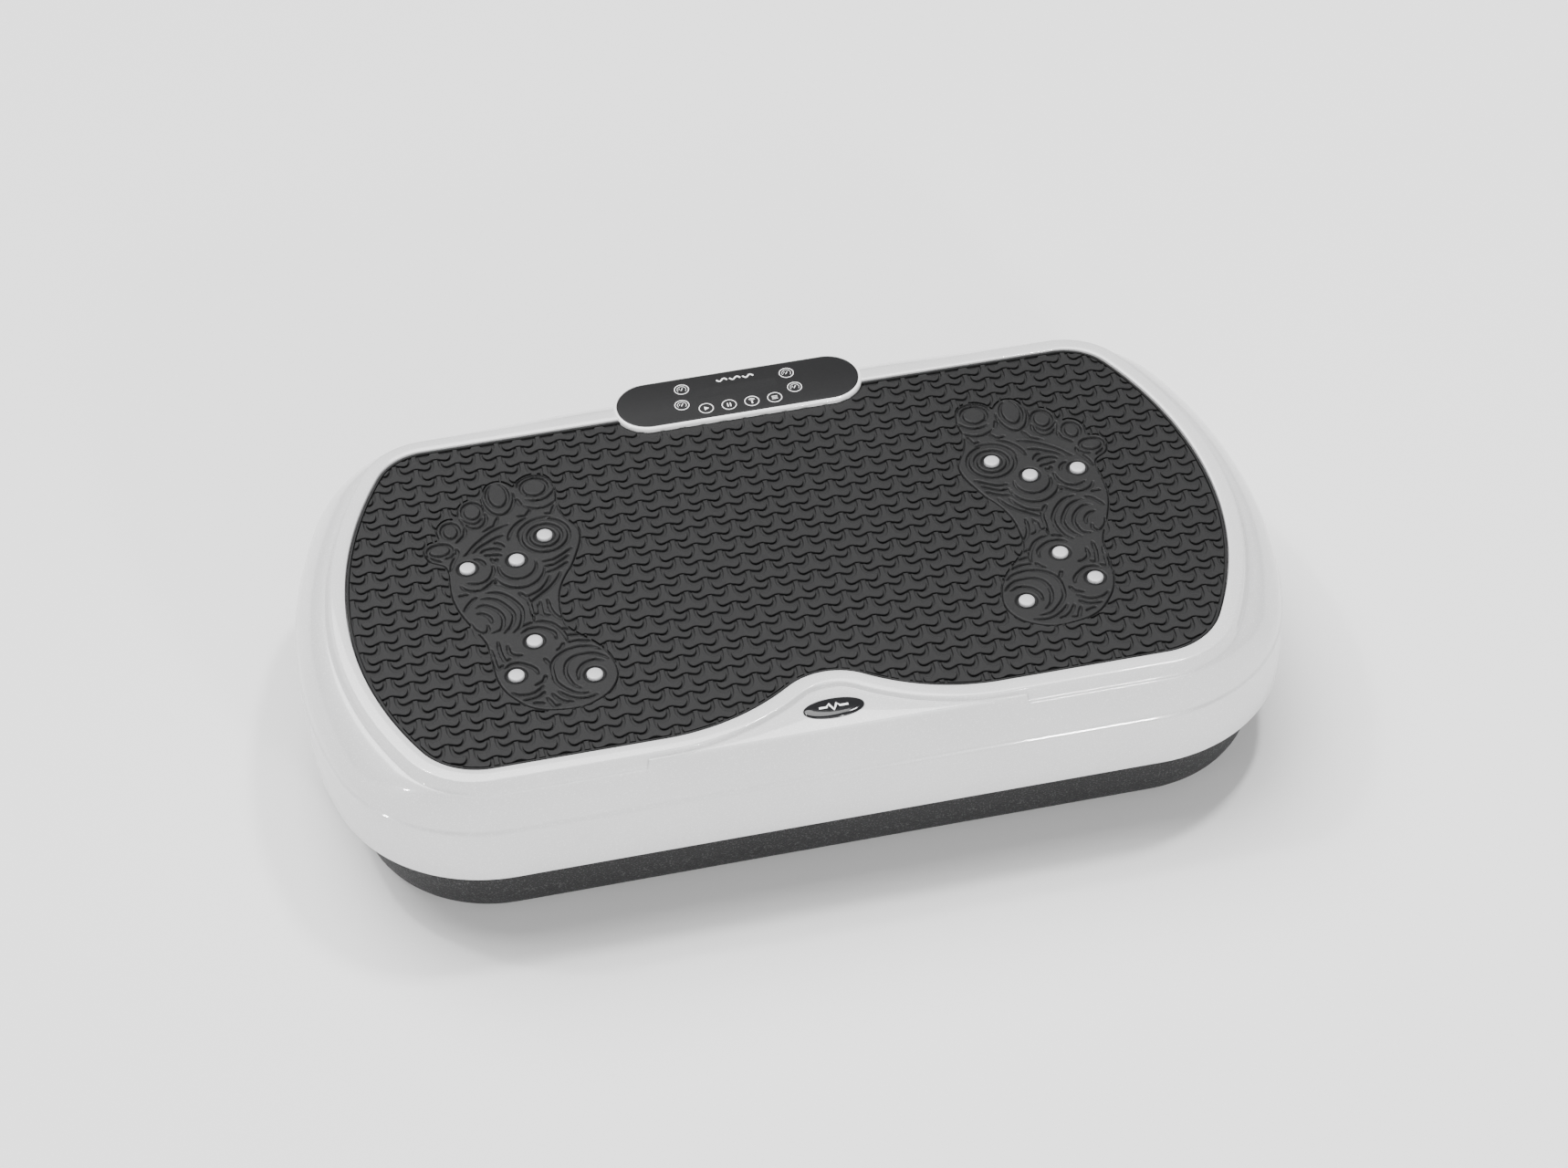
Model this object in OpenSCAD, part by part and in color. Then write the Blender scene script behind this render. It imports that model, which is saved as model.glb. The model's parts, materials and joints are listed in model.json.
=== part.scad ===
// Compact seesaw vibration plate: a glossy rocking platform with a rubber foot mat and a touch
// panel, driven by a belt, an eccentric shaft and a short rod inside a dark base tray.
// Millimetres. X runs along the plate, +Y to the rear (panel side), +Z up.
// The origin is on the floor under the middle of the plate.

/* [Shell] */
// Length of the top shell, end to end
shell_length = 530; // [520:1:540]
// Depth of the top shell, front to rear
shell_depth = 296; // [292:1:300]
// Height of the mat surface above the floor
mat_top = 112; // [110:0.5:114]
// Height of the lower edge of the skirt above the floor
lip_z = 46; // [44:0.5:48]
// Height at which the skirt's upright wall turns into the shoulder
crease_z = 80; // [78:0.5:82]
// Thickness of the moulded walls
wall = 3; // [2.5:0.1:3.5]
// Width of the flat rim round the mat
rim_width = 8.5; // [7.5:0.1:9.5]
// How far the shoulder starts below the rim
rim_drop = 7; // [5:0.1:8]
// Half length of the raised land at the middle of the front edge
land_half = 98; // [92:1:104]

/* [Mat] */
// Length of the mat pocket
mat_length = 469.6; // [464:0.2:474]
// How far the mat runs in from the middle of the front edge at its tip
notch_rise = 27.4; // [22:0.1:30]
// Half width of that inward curve
notch_half = 87; // [80:1:92]
// Radius at the tip of that curve
notch_tip_r = 35; // [30:1:40]
// Thickness of the mat
mat_thick = 4.5; // [4:0.1:5]
// Diameter of the massage studs
stud_d = 8.7; // [8:0.1:9.4]

/* [Control panel] */
// Length of the panel pod
pod_length = 141; // [136:1:146]
// Depth of the panel pod
pod_depth = 39.6; // [38:0.1:41]
// How far the pod stands above the mat
pod_rise = 1.5; // [1.2:0.1:2]
// Distance of the pod's middle line behind the origin
pod_y = 119; // [117:0.5:121]

/* [Base] */
// Depth of the rubber feet below the tray
foot_h = 6; // [4:0.5:8]
// How far the tray wall stands inside the skirt
tray_inset = 12; // [11:0.5:14]
// Height of the tray's upper edge
tray_top = 62; // [58:1:64]

/* [Drive] */
// Height of the rocking axis
pivot_z = 62; // [60:0.5:64]
// Diameter of the pivot shaft
pivot_d = 16; // [14:1:18]
// Height of the eccentric shaft and the motor shaft
drive_z = 44; // [43:0.5:45]
// Distance of the eccentric shaft from the middle
crank_x = -80; // [-84:1:-76]
// Distance of the motor shaft from the middle
motor_x = -150; // [-154:1:-148]
// Throw of the eccentric
throw = 2; // [1.5:0.1:2.2]
// Height of the pin that the rod drives
link_z = 76; // [74:0.5:77]
// Working radius of the large pulley
big_pulley_r = 26; // [24:0.5:26]
// Working radius of the small pulley
small_pulley_r = 12; // [11:0.5:14]
// Radius of the motor can
motor_r = 27; // [25:0.5:27]

/* [Hidden] */
$fn = 64;

// ---- plan outlines ----
// A plan is [half length, apex y, rear y, front y, rear side radius, front side radius,
// rear corner radius, front corner radius]. Each end is two large arcs that meet at the
// apex, each turning into a corner arc that meets the straight front or rear edge.
apex_y = -14;
shell_plan = [shell_length / 2, apex_y, shell_depth / 2, -shell_depth / 2, 304, 244, 87, 87];
mat_plan = [mat_length / 2, apex_y, 112.3, -132.2, 226, 200, 30.5, 39];
function grown(p, d) =
    [p[0] + d, p[1], p[2] + d, p[3] - d, p[4] + d, p[5] + d, p[6] + d, p[7] + d];

arc_steps = 6;
rear_xs = [0, 45, 90, 130];
front_xs = [140, 115, land_half + 0.4, land_half, for (x = [notch_half : -7.25 : 0]) x];
function arc_points(cx, cy, r, from, to, n) =
    [for (i = [0 : n - 1]) let (a = from + (to - from) * i / n) [cx + r * cos(a), cy + r * sin(a)]];
// x of a corner arc's centre, for a corner of height h above or below the apex line
function corner_x(p, side_r, corner_r, h) = p[0] - side_r + sqrt(pow(side_r - corner_r, 2) - h * h);
// Right half of a plan, from the middle of the rear edge round to the middle of the front edge
function half_points(p) = let (
        rear_h = p[2] - p[6] - p[1],
        front_h = p[1] - p[3] - p[7],
        rear_cx = corner_x(p, p[4], p[6], rear_h),
        front_cx = corner_x(p, p[5], p[7], front_h),
        rear_a = asin(rear_h / (p[4] - p[6])),
        front_a = asin(front_h / (p[5] - p[7])))
    concat(
        [for (x = rear_xs) [x, p[2]]],
        arc_points(rear_cx, p[2] - p[6], p[6], 90, rear_a, arc_steps),
        arc_points(p[0] - p[4], p[1], p[4], rear_a, 0, arc_steps),
        arc_points(p[0] - p[5], p[1], p[5], 0, -front_a, arc_steps),
        arc_points(front_cx, p[3] + p[7], p[7], -front_a, -90, arc_steps),
        [[front_cx, p[3]]],
        [for (x = front_xs) [x, p[3]]]);
half_count = len(half_points(shell_plan));
front_start = half_count - len(front_xs);
// A closed ring from a right half, mirrored to the left
function closed(half) = concat(half,
    [for (i = [len(half) - 2 : -1 : 1]) [-half[i][0], each [for (k = [1 : len(half[i]) - 1]) half[i][k]]]]);

// The curve of the mat's front edge, moved forward by d: a tip arc between two flares
flare_sum = (notch_half * notch_half + notch_rise * notch_rise) / (2 * notch_rise);
flare_r = flare_sum - notch_tip_r;
function notch_y(x, d) = let (front = mat_plan[3], tip_r = notch_tip_r - d)
    x < tip_r * notch_half / flare_sum
        ? front + notch_rise - notch_tip_r + sqrt(tip_r * tip_r - x * x)
        : x < notch_half
            ? front + flare_r - sqrt(pow(flare_r + d, 2) - pow(notch_half - x, 2))
            : front - d;
// Right half of the mat plan grown by d, with the inward curve at the front
function mat_half(d) = let (h = half_points(grown(mat_plan, d)))
    [for (i = [0 : half_count - 1]) i < front_start ? h[i] : [h[i][0], notch_y(h[i][0], d)]];
function at_z(half, z) = [for (p = half) [p[0], p[1], z]];

// Solid through rings of points that run clockwise seen along the direction of travel.
// Each end is closed by a fan of triangles round the middle of its ring
function middle(ring) = [for (k = [0 : 2]) [for (p = ring) p[k]] * [for (p = ring) 1] / len(ring)];
module loft(rings) {
    n = len(rings[0]);
    last = len(rings) - 1;
    hubs = [middle(rings[0]), middle(rings[last])];
    sides = [for (k = [0 : last - 1], i = [0 : n - 1]) let (
            j = (i + 1) % n, a = k * n + i, b = k * n + j, c = (k + 1) * n + j, d = (k + 1) * n + i)
        each [[a, d, b], [b, d, c]]];
    caps = [for (i = [0 : n - 1]) let (j = (i + 1) % n, hub = n * (last + 1))
        each [[i, j, hub], [last * n + j, last * n + i, hub + 1]]];
    polyhedron(points = concat([for (r = rings) each r], hubs), faces = concat(sides, caps));
}

// ---- shell levels ----
rim_z = mat_top + 0.8;
pocket_z = mat_top - mat_thick;
foot_z = mat_top - rim_drop;
land_z = mat_top - 1.7;
land_y = mat_plan[3] - rim_width - 1.6;
ceiling_z = pocket_z - 4;
foot_out = rim_width + 2.8;
shoulder_power = 1.6;
rear_land_lift = 3.5;
bezel_w = 1.8;
film_seat = 1.4;
film_thick = 1.3;
pod_wall = 6;
// Smooth swelling of the shoulder behind the panel pod
rear_lift_full = 80;
rear_lift_fade = 85;
function rear_lift(x) = let (share = (x - rear_lift_full) / rear_lift_fade)
    share < 0 ? rear_land_lift : share < 1 ? rear_land_lift * (1 + cos(share * 180)) / 2 : 0;
function on_land(i) = i >= front_start && half_points(shell_plan)[i][0] <= land_half;
// Start of the shoulder: at the foot of the rim, or at the front edge of the raised land
foot_half = let (h = half_points(grown(mat_plan, foot_out))) [for (i = [0 : half_count - 1])
    on_land(i) ? [h[i][0], land_y, land_z]
        : [h[i][0], h[i][1], foot_z + (i < len(rear_xs) + 1 ? rear_lift(h[i][0]) : 0)]];
// Groove between the rim and the land; elsewhere a point on the slope under the rim
groove_half = let (out = rim_width + 1, h = mat_half(out)) [for (i = [0 : half_count - 1])
    [h[i][0], h[i][1], on_land(i) ? land_z : (rim_z + foot_half[i][2]) / 2 + 0.6]];
crease_half = at_z(half_points(shell_plan), crease_z);
// A half ring part of the way round the shoulder, t from 0 at its start to 90 at the crease
function shoulder(from, to, t) = let (
        f = pow(sin(t), 2 / shoulder_power),
        v = pow(cos(t), 2 / shoulder_power))
    [for (i = [0 : half_count - 1]) [
        from[i][0] + (to[i][0] - from[i][0]) * f,
        from[i][1] + (to[i][1] - from[i][1]) * f,
        to[i][2] + (from[i][2] - to[i][2]) * v]];
inner_top = at_z(half_points(grown(mat_plan, foot_out - wall)), foot_z - wall);
inner_crease = at_z(half_points(grown(shell_plan, -wall)), crease_z - 1);

// ---- mechanism layout ----
mech_y = -5;
floor_z = foot_h + 4;
chassis_z = floor_z + 3;
plate_z = ceiling_z - 6.5;
plate_thick = 3;
plate_top = plate_z + plate_thick;
plate_size = [384, 212];
boss_at = [for (sx = [-1, 1], p = [[175, -89], [178, 78], [58, -89]]) [sx * p[0], p[1]]];
channel_h = 12;
channel_y = 98;
channel_size = [376, 18];
clamp_y = 35;
clamp_size = [34, 20];
clamp_bolt_at = [for (sx = [-1, 1], sy = [-1, 1]) [sx * 11.5, mech_y + sy * clamp_y]];
clamp_bolt_r = 2.5;
block_y = 70;
block_w = 18;
running = 0.03;
bearing_r = 16;
bearing_w = 12;
rod_y = 10;
rod_w = 14;
eccentric_x = crank_x + throw;
eccentric_r = 13;
rod_bearing_r = 19;
bush_r = 11.5;
bush_bore_r = 9.2;
link_r = 4;
crank_shaft_r = 6;
crank_bearing_r = 11;
crank_block_ys = [-14, 34];
crank_block_w = 12;
// Bolts of the pillow blocks: x, y and radius
block_bolt_at = concat(
    [for (sx = [-1, 1], sy = [-1, 1]) [sx * 27, mech_y + sy * block_y, 2.5]],
    [for (sx = [-1, 1], y = crank_block_ys) [crank_x + sx * 20, y, 2]]);
motor_shaft_r = 4;
motor_front_y = 42;
motor_back_y = -60;
motor_saddle_ys = [-46, 16];
belt_y = 72;
belt_w = 9;
belt_gap = 0.3;
groove_w = 11;
foot_at = [for (sx = [-1, 1], sy = [-1, 1]) [sx * 196, mech_y + sy * 88]];
buffer_at = [for (sx = [-1, 1], sy = [-1, 1]) [sx * 168, mech_y + sy * channel_y]];
buffer_r = 9;
buffer_top = plate_z - channel_h - 5.3;
chassis_size = [428, 216];
chassis_screw_at = [for (sx = [-1, 1], sy = [-1, 1]) [sx * 205, sy * 44]];
inlet_x = -150;
switch_x = -112;
socket_z = 27;
rocker_tilt = 8;
rear_face_y = shell_depth / 2 - tray_inset - 1;
board_at = [118, -8];
board_size = [110, 84];
board_z = 22;
terminal_x = board_at[0] - 52;
lead_r = 1.5;
lead_pitch = 7;
lead_z = 16.5;
lead_lane_y = 105;

// ---- small helpers ----
// Cylinder along Y from y0 to y1 at x, z
module bar_y(x, z, r, y0, y1) translate([x, y0, z]) rotate([-90, 0, 0]) cylinder(r = r, h = y1 - y0);
module stadium(half_len, r) {
    square([2 * (half_len - r), 2 * r], center = true);
    for (s = [-1, 1]) translate([s * (half_len - r), 0]) circle(r);
}
module rounded_rect(size, r) {
    square([size[0] - 2 * r, size[1]], center = true);
    square([size[0], size[1] - 2 * r], center = true);
    for (sx = [-1, 1], sy = [-1, 1])
        translate([sx * (size[0] / 2 - r), sy * (size[1] / 2 - r)]) circle(r);
}
// Pan head screw that points up, with its head's underside at z
module screw_up(r, head_r, head_h, z, length) {
    translate([0, 0, z - head_h]) difference() {
        cylinder(r = head_r, h = head_h);
        translate([0, 0, -0.1]) cylinder(r = r, h = head_h * 0.6, $fn = 6);
    }
    translate([0, 0, z]) cylinder(r = r, h = length);
}
// Hexagon head bolt that points down, with its head's underside at z
module bolt_down(r, z, length) {
    translate([0, 0, z]) cylinder(r = r * 1.8, h = r * 1.3, $fn = 6);
    translate([0, 0, z - length]) cylinder(r = r, h = length);
}
// Round cable on a smooth curve drawn towards the inner points and ending at the outer ones
module cable(points, r) {
    last = len(points) - 1;
    function joint(i) = i == 0 ? points[0] : i == last - 1 ? points[last] : (points[i] + points[i + 1]) / 2;
    stations = [for (i = [1 : last - 1], t = [0 : 0.2 : i == last - 1 ? 1 : 0.9])
        [joint(i - 1) * (1 - t) * (1 - t) + points[i] * 2 * t * (1 - t) + joint(i) * t * t,
            (points[i] - joint(i - 1)) * (1 - t) + (joint(i) - points[i]) * t]];
    loft([for (station = stations) let (
            along = station[1] / norm(station[1]),
            across = cross(along, [0, 0, 1]),
            side = across / norm(across),
            up = cross(side, along))
        [for (a = [0 : 36 : 324]) station[0] + r * (cos(a) * up + sin(a) * side)]]);
}
// Stadium solid with rounded upper edge
module pod_solid(half_len, r, z0, z1, edge) {
    profile = concat([[0, z0], [r, z0]],
        [for (a = [0 : 15 : 90]) [r - edge + edge * cos(a), z1 - edge + edge * sin(a)]], [[0, z1]]);
    for (s = [-1, 1]) translate([s * (half_len - r), 0, 0]) rotate_extrude() polygon(profile);
    translate([-(half_len - r), 0, 0]) rotate([90, 0, 90]) linear_extrude(2 * (half_len - r))
        polygon(concat(profile, [for (i = [len(profile) - 2 : -1 : 1]) [-profile[i][0], profile[i][1]]]));
}
// Ball bearing seen as one ring with shields, along Y
module bearing(r_in, r_out, w) rotate([-90, 0, 0]) rotate_extrude() difference() {
    translate([r_in, -w / 2]) square([r_out - r_in, w]);
    for (s = [-1, 1]) translate([(r_in + r_out) / 2, s * w / 2])
        square([(r_out - r_in) * 0.45, 1.2], center = true);
}
module stud_places() for (s = [-1, 1], p = [[123.5, 30.5], [141, 15], [167.5, 14.5], [141, -47.5],
    [154, -70], [114.5, -78.5]]) translate([s * p[0], p[1], 0]) children();

// ---- platform ----
module top_shell() color([0.84, 0.84, 0.85]) difference() {
    union() {
        loft([for (half = [
            at_z(mat_half(0), pocket_z),
            at_z(mat_half(0), rim_z - 0.5),
            at_z(mat_half(0.5), rim_z),
            at_z(mat_half(rim_width - 1), rim_z),
            at_z(mat_half(rim_width), rim_z - 0.8),
            groove_half,
            foot_half,
            for (t = [15 : 15 : 75]) shoulder(foot_half, crease_half, t),
            crease_half,
            at_z(half_points(shell_plan), lip_z + 0.8),
            at_z(half_points(grown(shell_plan, -0.8)), lip_z),
            at_z(half_points(grown(shell_plan, -wall)), lip_z),
            inner_crease,
            shoulder(inner_top, inner_crease, 50),
            shoulder(inner_top, inner_crease, 20),
            at_z(half_points(grown(mat_plan, foot_out - 2 * wall)), ceiling_z)
        ]) closed(half)]);
        translate([0, pod_y, plate_top + 0.5]) linear_extrude(pocket_z - plate_top - 1)
            stadium(pod_length / 2 + 1.5, pod_depth / 2 + 1.5);
        for (p = boss_at) translate([p[0], p[1], plate_top]) cylinder(r = 6, h = ceiling_z - plate_top + 1);
    }
    translate([0, pod_y, pocket_z - 1]) linear_extrude(20) stadium(pod_length / 2 + 0.2, pod_depth / 2 + 0.2);
    translate([0, pod_y, ceiling_z - 7]) linear_extrude(10) stadium(pod_length / 2 - 14, pod_depth / 2 - 8);
    for (p = boss_at) translate([p[0], p[1], plate_top - 1]) cylinder(r = 1.6, h = 5.5);
}
module rubber_mat() color([0.25, 0.25, 0.26]) difference() {
    translate([0, 0, pocket_z]) linear_extrude(mat_thick) difference() {
        polygon(closed(mat_half(-0.6)));
        translate([0, pod_y]) stadium(pod_length / 2 + 0.8, pod_depth / 2 + 0.8);
    }
    stud_places() translate([0, 0, pocket_z - 1]) cylinder(d = stud_d, h = mat_thick + 2);
}
module magnet_studs() color([0.8, 0.8, 0.8]) stud_places() translate([0, 0, pocket_z])
    rotate_extrude() polygon([[0, 0], [stud_d / 2, 0], [stud_d / 2, mat_thick + 0.2],
        [stud_d / 2 - 0.5, mat_thick + 0.7], [0, mat_thick + 0.9]]);
module panel_housing() color([0.92, 0.92, 0.93]) translate([0, pod_y, 0]) difference() {
    pod_solid(pod_length / 2, pod_depth / 2, pocket_z - 1, mat_top + pod_rise, film_seat);
    translate([0, 0, mat_top + pod_rise - film_seat]) linear_extrude(3)
        stadium(pod_length / 2 - bezel_w, pod_depth / 2 - bezel_w);
    translate([0, 0, pocket_z - 2]) linear_extrude(5)
        stadium(pod_length / 2 - pod_wall, pod_depth / 2 - pod_wall);
}
module panel_overlay() color([0.27, 0.27, 0.28]) translate([0, pod_y, mat_top + pod_rise - film_seat])
    linear_extrude(film_thick) stadium(pod_length / 2 - bezel_w - 0.1, pod_depth / 2 - bezel_w - 0.1);
module display_module() color([0.12, 0.12, 0.13]) translate([0, pod_y + 3, pocket_z + 0.6])
    linear_extrude(2) square([44, 9], center = true);
module touch_board() color([0.1, 0.35, 0.2]) translate([0, pod_y, pocket_z - 1]) linear_extrude(1.6)
    rounded_rect([112, 24], 3);
module front_badge() color([0.1, 0.1, 0.11]) translate([0, land_y + 13, land_z])
    linear_extrude(1.6) polygon([for (a = [0 : 7.5 : 352.5]) [15.9 * cos(a), 6.7 * sin(a)]]);
module swing_plate() color([0.45, 0.46, 0.48]) translate([0, mech_y, plate_z]) difference() {
    linear_extrude(plate_thick) rounded_rect(plate_size, 14);
    for (p = boss_at) translate([p[0], p[1] - mech_y, -1]) cylinder(r = 1.8, h = plate_thick + 2);
    for (p = clamp_bolt_at) translate([p[0], p[1] - mech_y, -1])
        cylinder(r = clamp_bolt_r, h = plate_thick + 2);
    for (s = [-1, 1]) translate([s * 118, 0, -1]) linear_extrude(plate_thick + 2) rounded_rect([44, 90], 10);
}
module swing_channels() color([0.45, 0.46, 0.48]) for (s = [-1, 1])
    translate([-channel_size[0] / 2, mech_y + s * channel_y, plate_z - channel_h]) rotate([90, 0, 90])
        linear_extrude(channel_size[0]) difference() {
            translate([-channel_size[1] / 2, 0]) square([channel_size[1], channel_h]);
            translate([-channel_size[1] / 2 + 2, 2]) square([channel_size[1] - 4, channel_h]);
        }
module shaft_clamps() color([0.5, 0.51, 0.53]) for (s = [-1, 1]) difference() {
    translate([-clamp_size[0] / 2, mech_y + s * clamp_y - clamp_size[1] / 2, pivot_z - 13])
        cube([clamp_size[0], clamp_size[1], plate_z - pivot_z + 13]);
    bar_y(0, pivot_z, pivot_d / 2, mech_y + s * clamp_y - 15, mech_y + s * clamp_y + 15);
    for (p = clamp_bolt_at) translate([p[0], p[1], plate_z - 17]) cylinder(r = clamp_bolt_r, h = 20);
}
module clamp_bolts() color([0.75, 0.75, 0.77]) for (p = clamp_bolt_at) translate([p[0], p[1], 0]) {
    translate([0, 0, plate_top]) cylinder(r = 4.5, h = 1.6, $fn = 6);
    translate([0, 0, plate_z - 16.5]) cylinder(r = clamp_bolt_r, h = 16.5 + plate_thick);
}
module pivot_shaft() color([0.78, 0.79, 0.8])
    bar_y(0, pivot_z, pivot_d / 2, mech_y - block_y - 14, mech_y + block_y + 14);
module link_brackets() color([0.5, 0.51, 0.53]) for (side = [0, 1])
    translate([crank_x, rod_y, 0]) mirror([0, side, 0]) translate([0, 9, 0]) difference() {
        union() {
            translate([-12, 0, link_z - 9]) cube([24, 4, plate_z - link_z + 9]);
            translate([-12, 0, plate_z - 3]) cube([24, 16, 3]);
        }
        bar_y(0, link_z, link_r, -1, 5);
    }
module link_pin() color([0.78, 0.79, 0.8]) {
    bar_y(crank_x, link_z, link_r, rod_y - 14.5, rod_y + 14.5);
    bar_y(crank_x, link_z, link_r + 2, rod_y + 13, rod_y + 15);
    bar_y(crank_x, link_z, link_r + 1.5, rod_y - 14.2, rod_y - 13);
}
module shell_screws() color([0.3, 0.3, 0.31]) for (p = boss_at) translate([p[0], p[1], 0])
    screw_up(1.6, 3.4, 2, plate_z, plate_thick + 4);

// ---- base ----
module base_tray() color([0.28, 0.28, 0.29]) difference() {
    union() {
        loft([for (level = [
            [-tray_inset - 10, floor_z], [-tray_inset - 4.5, floor_z + 3],
            [-tray_inset - 2.6, tray_top], [-tray_inset, tray_top],
            [-tray_inset - 0.6, 24], [-tray_inset - 2.5, 12], [-tray_inset - 4.6, 8],
            [-tray_inset - 8, foot_h]
        ]) closed(at_z(half_points(grown(shell_plan, level[0])), level[1]))]);
        translate([inlet_x - 34, rear_face_y - 6, floor_z - 1]) cube([92, 6.5, 36]);
    }
    translate([inlet_x - 30, rear_face_y, 12]) cube([84, 10, 30]);
    translate([inlet_x - 14, rear_face_y - 10, socket_z - 10.5]) cube([28, 20, 21]);
    translate([switch_x - 9, rear_face_y - 10, socket_z - 6.5]) cube([18, 20, 13]);
    for (p = foot_at) translate([p[0], p[1], 0]) cylinder(r = 2.2, h = 20);
    for (p = chassis_screw_at) translate([p[0], mech_y + p[1], floor_z - 2]) cylinder(r = 2, h = 3);
    for (i = [-3 : 3]) translate([120 + i * 7, mech_y, 0]) linear_extrude(20) rounded_rect([3, 44], 1.4);
}
module rubber_feet() color([0.14, 0.14, 0.15]) for (p = foot_at) translate([p[0], p[1], 0])
    rotate_extrude() polygon([[6, 0], [15.5, 0], [17.5, 2], [18, foot_h], [2.2, foot_h], [2.2, 3], [6, 3]]);
module foot_screws() color([0.75, 0.75, 0.77]) for (p = foot_at) translate([p[0], p[1], 0])
    screw_up(2.2, 4.6, 2.2, 3, chassis_z - 3);
module chassis_plate() color([0.5, 0.51, 0.53]) translate([0, mech_y, floor_z]) difference() {
    linear_extrude(3) rounded_rect(chassis_size, 16);
    for (p = foot_at) translate([p[0], p[1] - mech_y, -1]) cylinder(r = 2.2, h = 5);
    for (p = chassis_screw_at) translate([p[0], p[1], -1]) cylinder(r = 2, h = 5);
    for (b = block_bolt_at) translate([b[0], b[1] - mech_y, -1]) cylinder(r = b[2], h = 5);
    for (x = [56, 180]) translate([x, 0, -1]) linear_extrude(5) rounded_rect([16, 70], 6);
}
module chassis_screws() color([0.3, 0.3, 0.31]) for (p = chassis_screw_at)
    translate([p[0], mech_y + p[1], 0]) {
        translate([0, 0, floor_z - 2]) cylinder(r = 2, h = 5);
        translate([0, 0, chassis_z]) cylinder(r = 4, h = 2.2);
    }
// Pillow block that holds a bearing of radius r, with its bore's axis along Y
module pillow_block(x, y, z, w, r, wing) difference() {
    union() {
        bar_y(x, z, r + 5, y - w / 2, y + w / 2);
        translate([x - r - 5, y - w / 2, chassis_z]) cube([2 * r + 10, w, z - chassis_z]);
        translate([x - r - 5 - wing, y - w / 2, chassis_z]) cube([2 * (r + 5 + wing), w, 6]);
    }
    bar_y(x, z, r, y - w, y + w);
    for (s = [-1, 1]) translate([x + s * (r + 5 + wing / 2), y, chassis_z - 1]) cylinder(r = 2.5, h = 8);
}
module bearing_blocks() color([0.42, 0.43, 0.45]) for (s = [-1, 1])
    pillow_block(0, mech_y + s * block_y, pivot_z, block_w, bearing_r, 12);
module pivot_bearings() color([0.8, 0.81, 0.82]) for (s = [-1, 1])
    translate([0, mech_y + s * block_y, pivot_z]) bearing(pivot_d / 2 + running, bearing_r, bearing_w);
module block_bolts() color([0.75, 0.75, 0.77]) for (b = block_bolt_at) translate([b[0], b[1], 0])
    bolt_down(b[2], chassis_z + 6, 9);
module motor_can() color([0.3, 0.31, 0.33]) difference() {
    bar_y(motor_x, drive_z, motor_r, motor_back_y, motor_front_y);
    bar_y(motor_x, drive_z, motor_r - 2, motor_back_y - 1, motor_front_y + 1);
}
module motor_end_bells() color([0.66, 0.67, 0.69]) for (side = [[motor_back_y, -1], [motor_front_y, 1]])
    translate([motor_x, side[0], drive_z]) rotate([-90 * side[1], 0, 0]) difference() {
        union() {
            cylinder(r = motor_r, h = 3);
            translate([0, 0, -4]) cylinder(r = motor_r - 2, h = 5);
            cylinder(r = 11, h = 6);
        }
        translate([0, 0, -6]) cylinder(r = motor_shaft_r + running, h = 14);
        for (a = [30 : 60 : 330]) rotate(a) translate([17, 0, -6]) cylinder(r = 3, h = 14);
    }
module motor_magnets() color([0.2, 0.2, 0.21]) for (s = [-1, 1]) intersection() {
    difference() {
        bar_y(motor_x, drive_z, motor_r - 2, -46, 26);
        bar_y(motor_x, drive_z, motor_r - 6.5, -50, 30);
    }
    translate([motor_x - 18, -50, drive_z + (s > 0 ? 6 : -motor_r - 6)]) cube([36, 80, motor_r]);
}
module motor_saddles() color([0.42, 0.43, 0.45]) for (y = motor_saddle_ys) difference() {
    translate([motor_x - 32, y, chassis_z]) cube([64, 12, 20]);
    bar_y(motor_x, drive_z, motor_r, y - 1, y + 13);
}
module motor_straps() color([0.6, 0.61, 0.63]) for (y = motor_saddle_ys) difference() {
    union() {
        bar_y(motor_x, drive_z, motor_r + 1.5, y + 1, y + 11);
        translate([motor_x - 32, y + 1, chassis_z + 20]) cube([64, 10, 1.5]);
    }
    bar_y(motor_x, drive_z, motor_r, y, y + 12);
    translate([motor_x - 40, y, chassis_z - 10]) cube([80, 12, 30]);
}
module crank_blocks() color([0.42, 0.43, 0.45]) for (y = crank_block_ys)
    pillow_block(crank_x, y, drive_z, crank_block_w, crank_bearing_r, 8);
module crank_bearings() color([0.8, 0.81, 0.82]) for (y = crank_block_ys)
    translate([crank_x, y, drive_z]) bearing(crank_shaft_r + running, crank_bearing_r, 10);
// Outline that wraps both pulleys at distance d from their working radii
module belt_outline(d) hull() {
    translate([crank_x, 0]) circle(big_pulley_r + d);
    translate([motor_x, 0]) circle(small_pulley_r + d);
}
module drive_belt() color([0.12, 0.12, 0.12]) translate([0, belt_y + belt_w / 2, drive_z]) rotate([90, 0, 0])
    linear_extrude(belt_w) difference() {
        belt_outline(belt_gap + 2);
        belt_outline(belt_gap);
    }
module buffer_posts() color([0.28, 0.28, 0.29]) for (p = buffer_at) translate([p[0], p[1], chassis_z]) {
    cylinder(r = buffer_r, h = buffer_top - 8 - chassis_z);
    cylinder(r = buffer_r + 3, h = 4);
}
module buffer_pads() color([0.14, 0.14, 0.15]) for (p = buffer_at) translate([p[0], p[1], buffer_top - 8])
    rotate_extrude() polygon([[0, 0], [buffer_r, 0], [buffer_r, 5], [buffer_r - 3, 8], [0, 8]]);
module driver_board() color([0.12, 0.36, 0.2]) translate([board_at[0], board_at[1], board_z])
    linear_extrude(1.6) difference() {
        rounded_rect(board_size, 3);
        for (sx = [-1, 1], sy = [-1, 1]) translate([sx * 50, sy * 37]) circle(1.7);
    }
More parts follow.
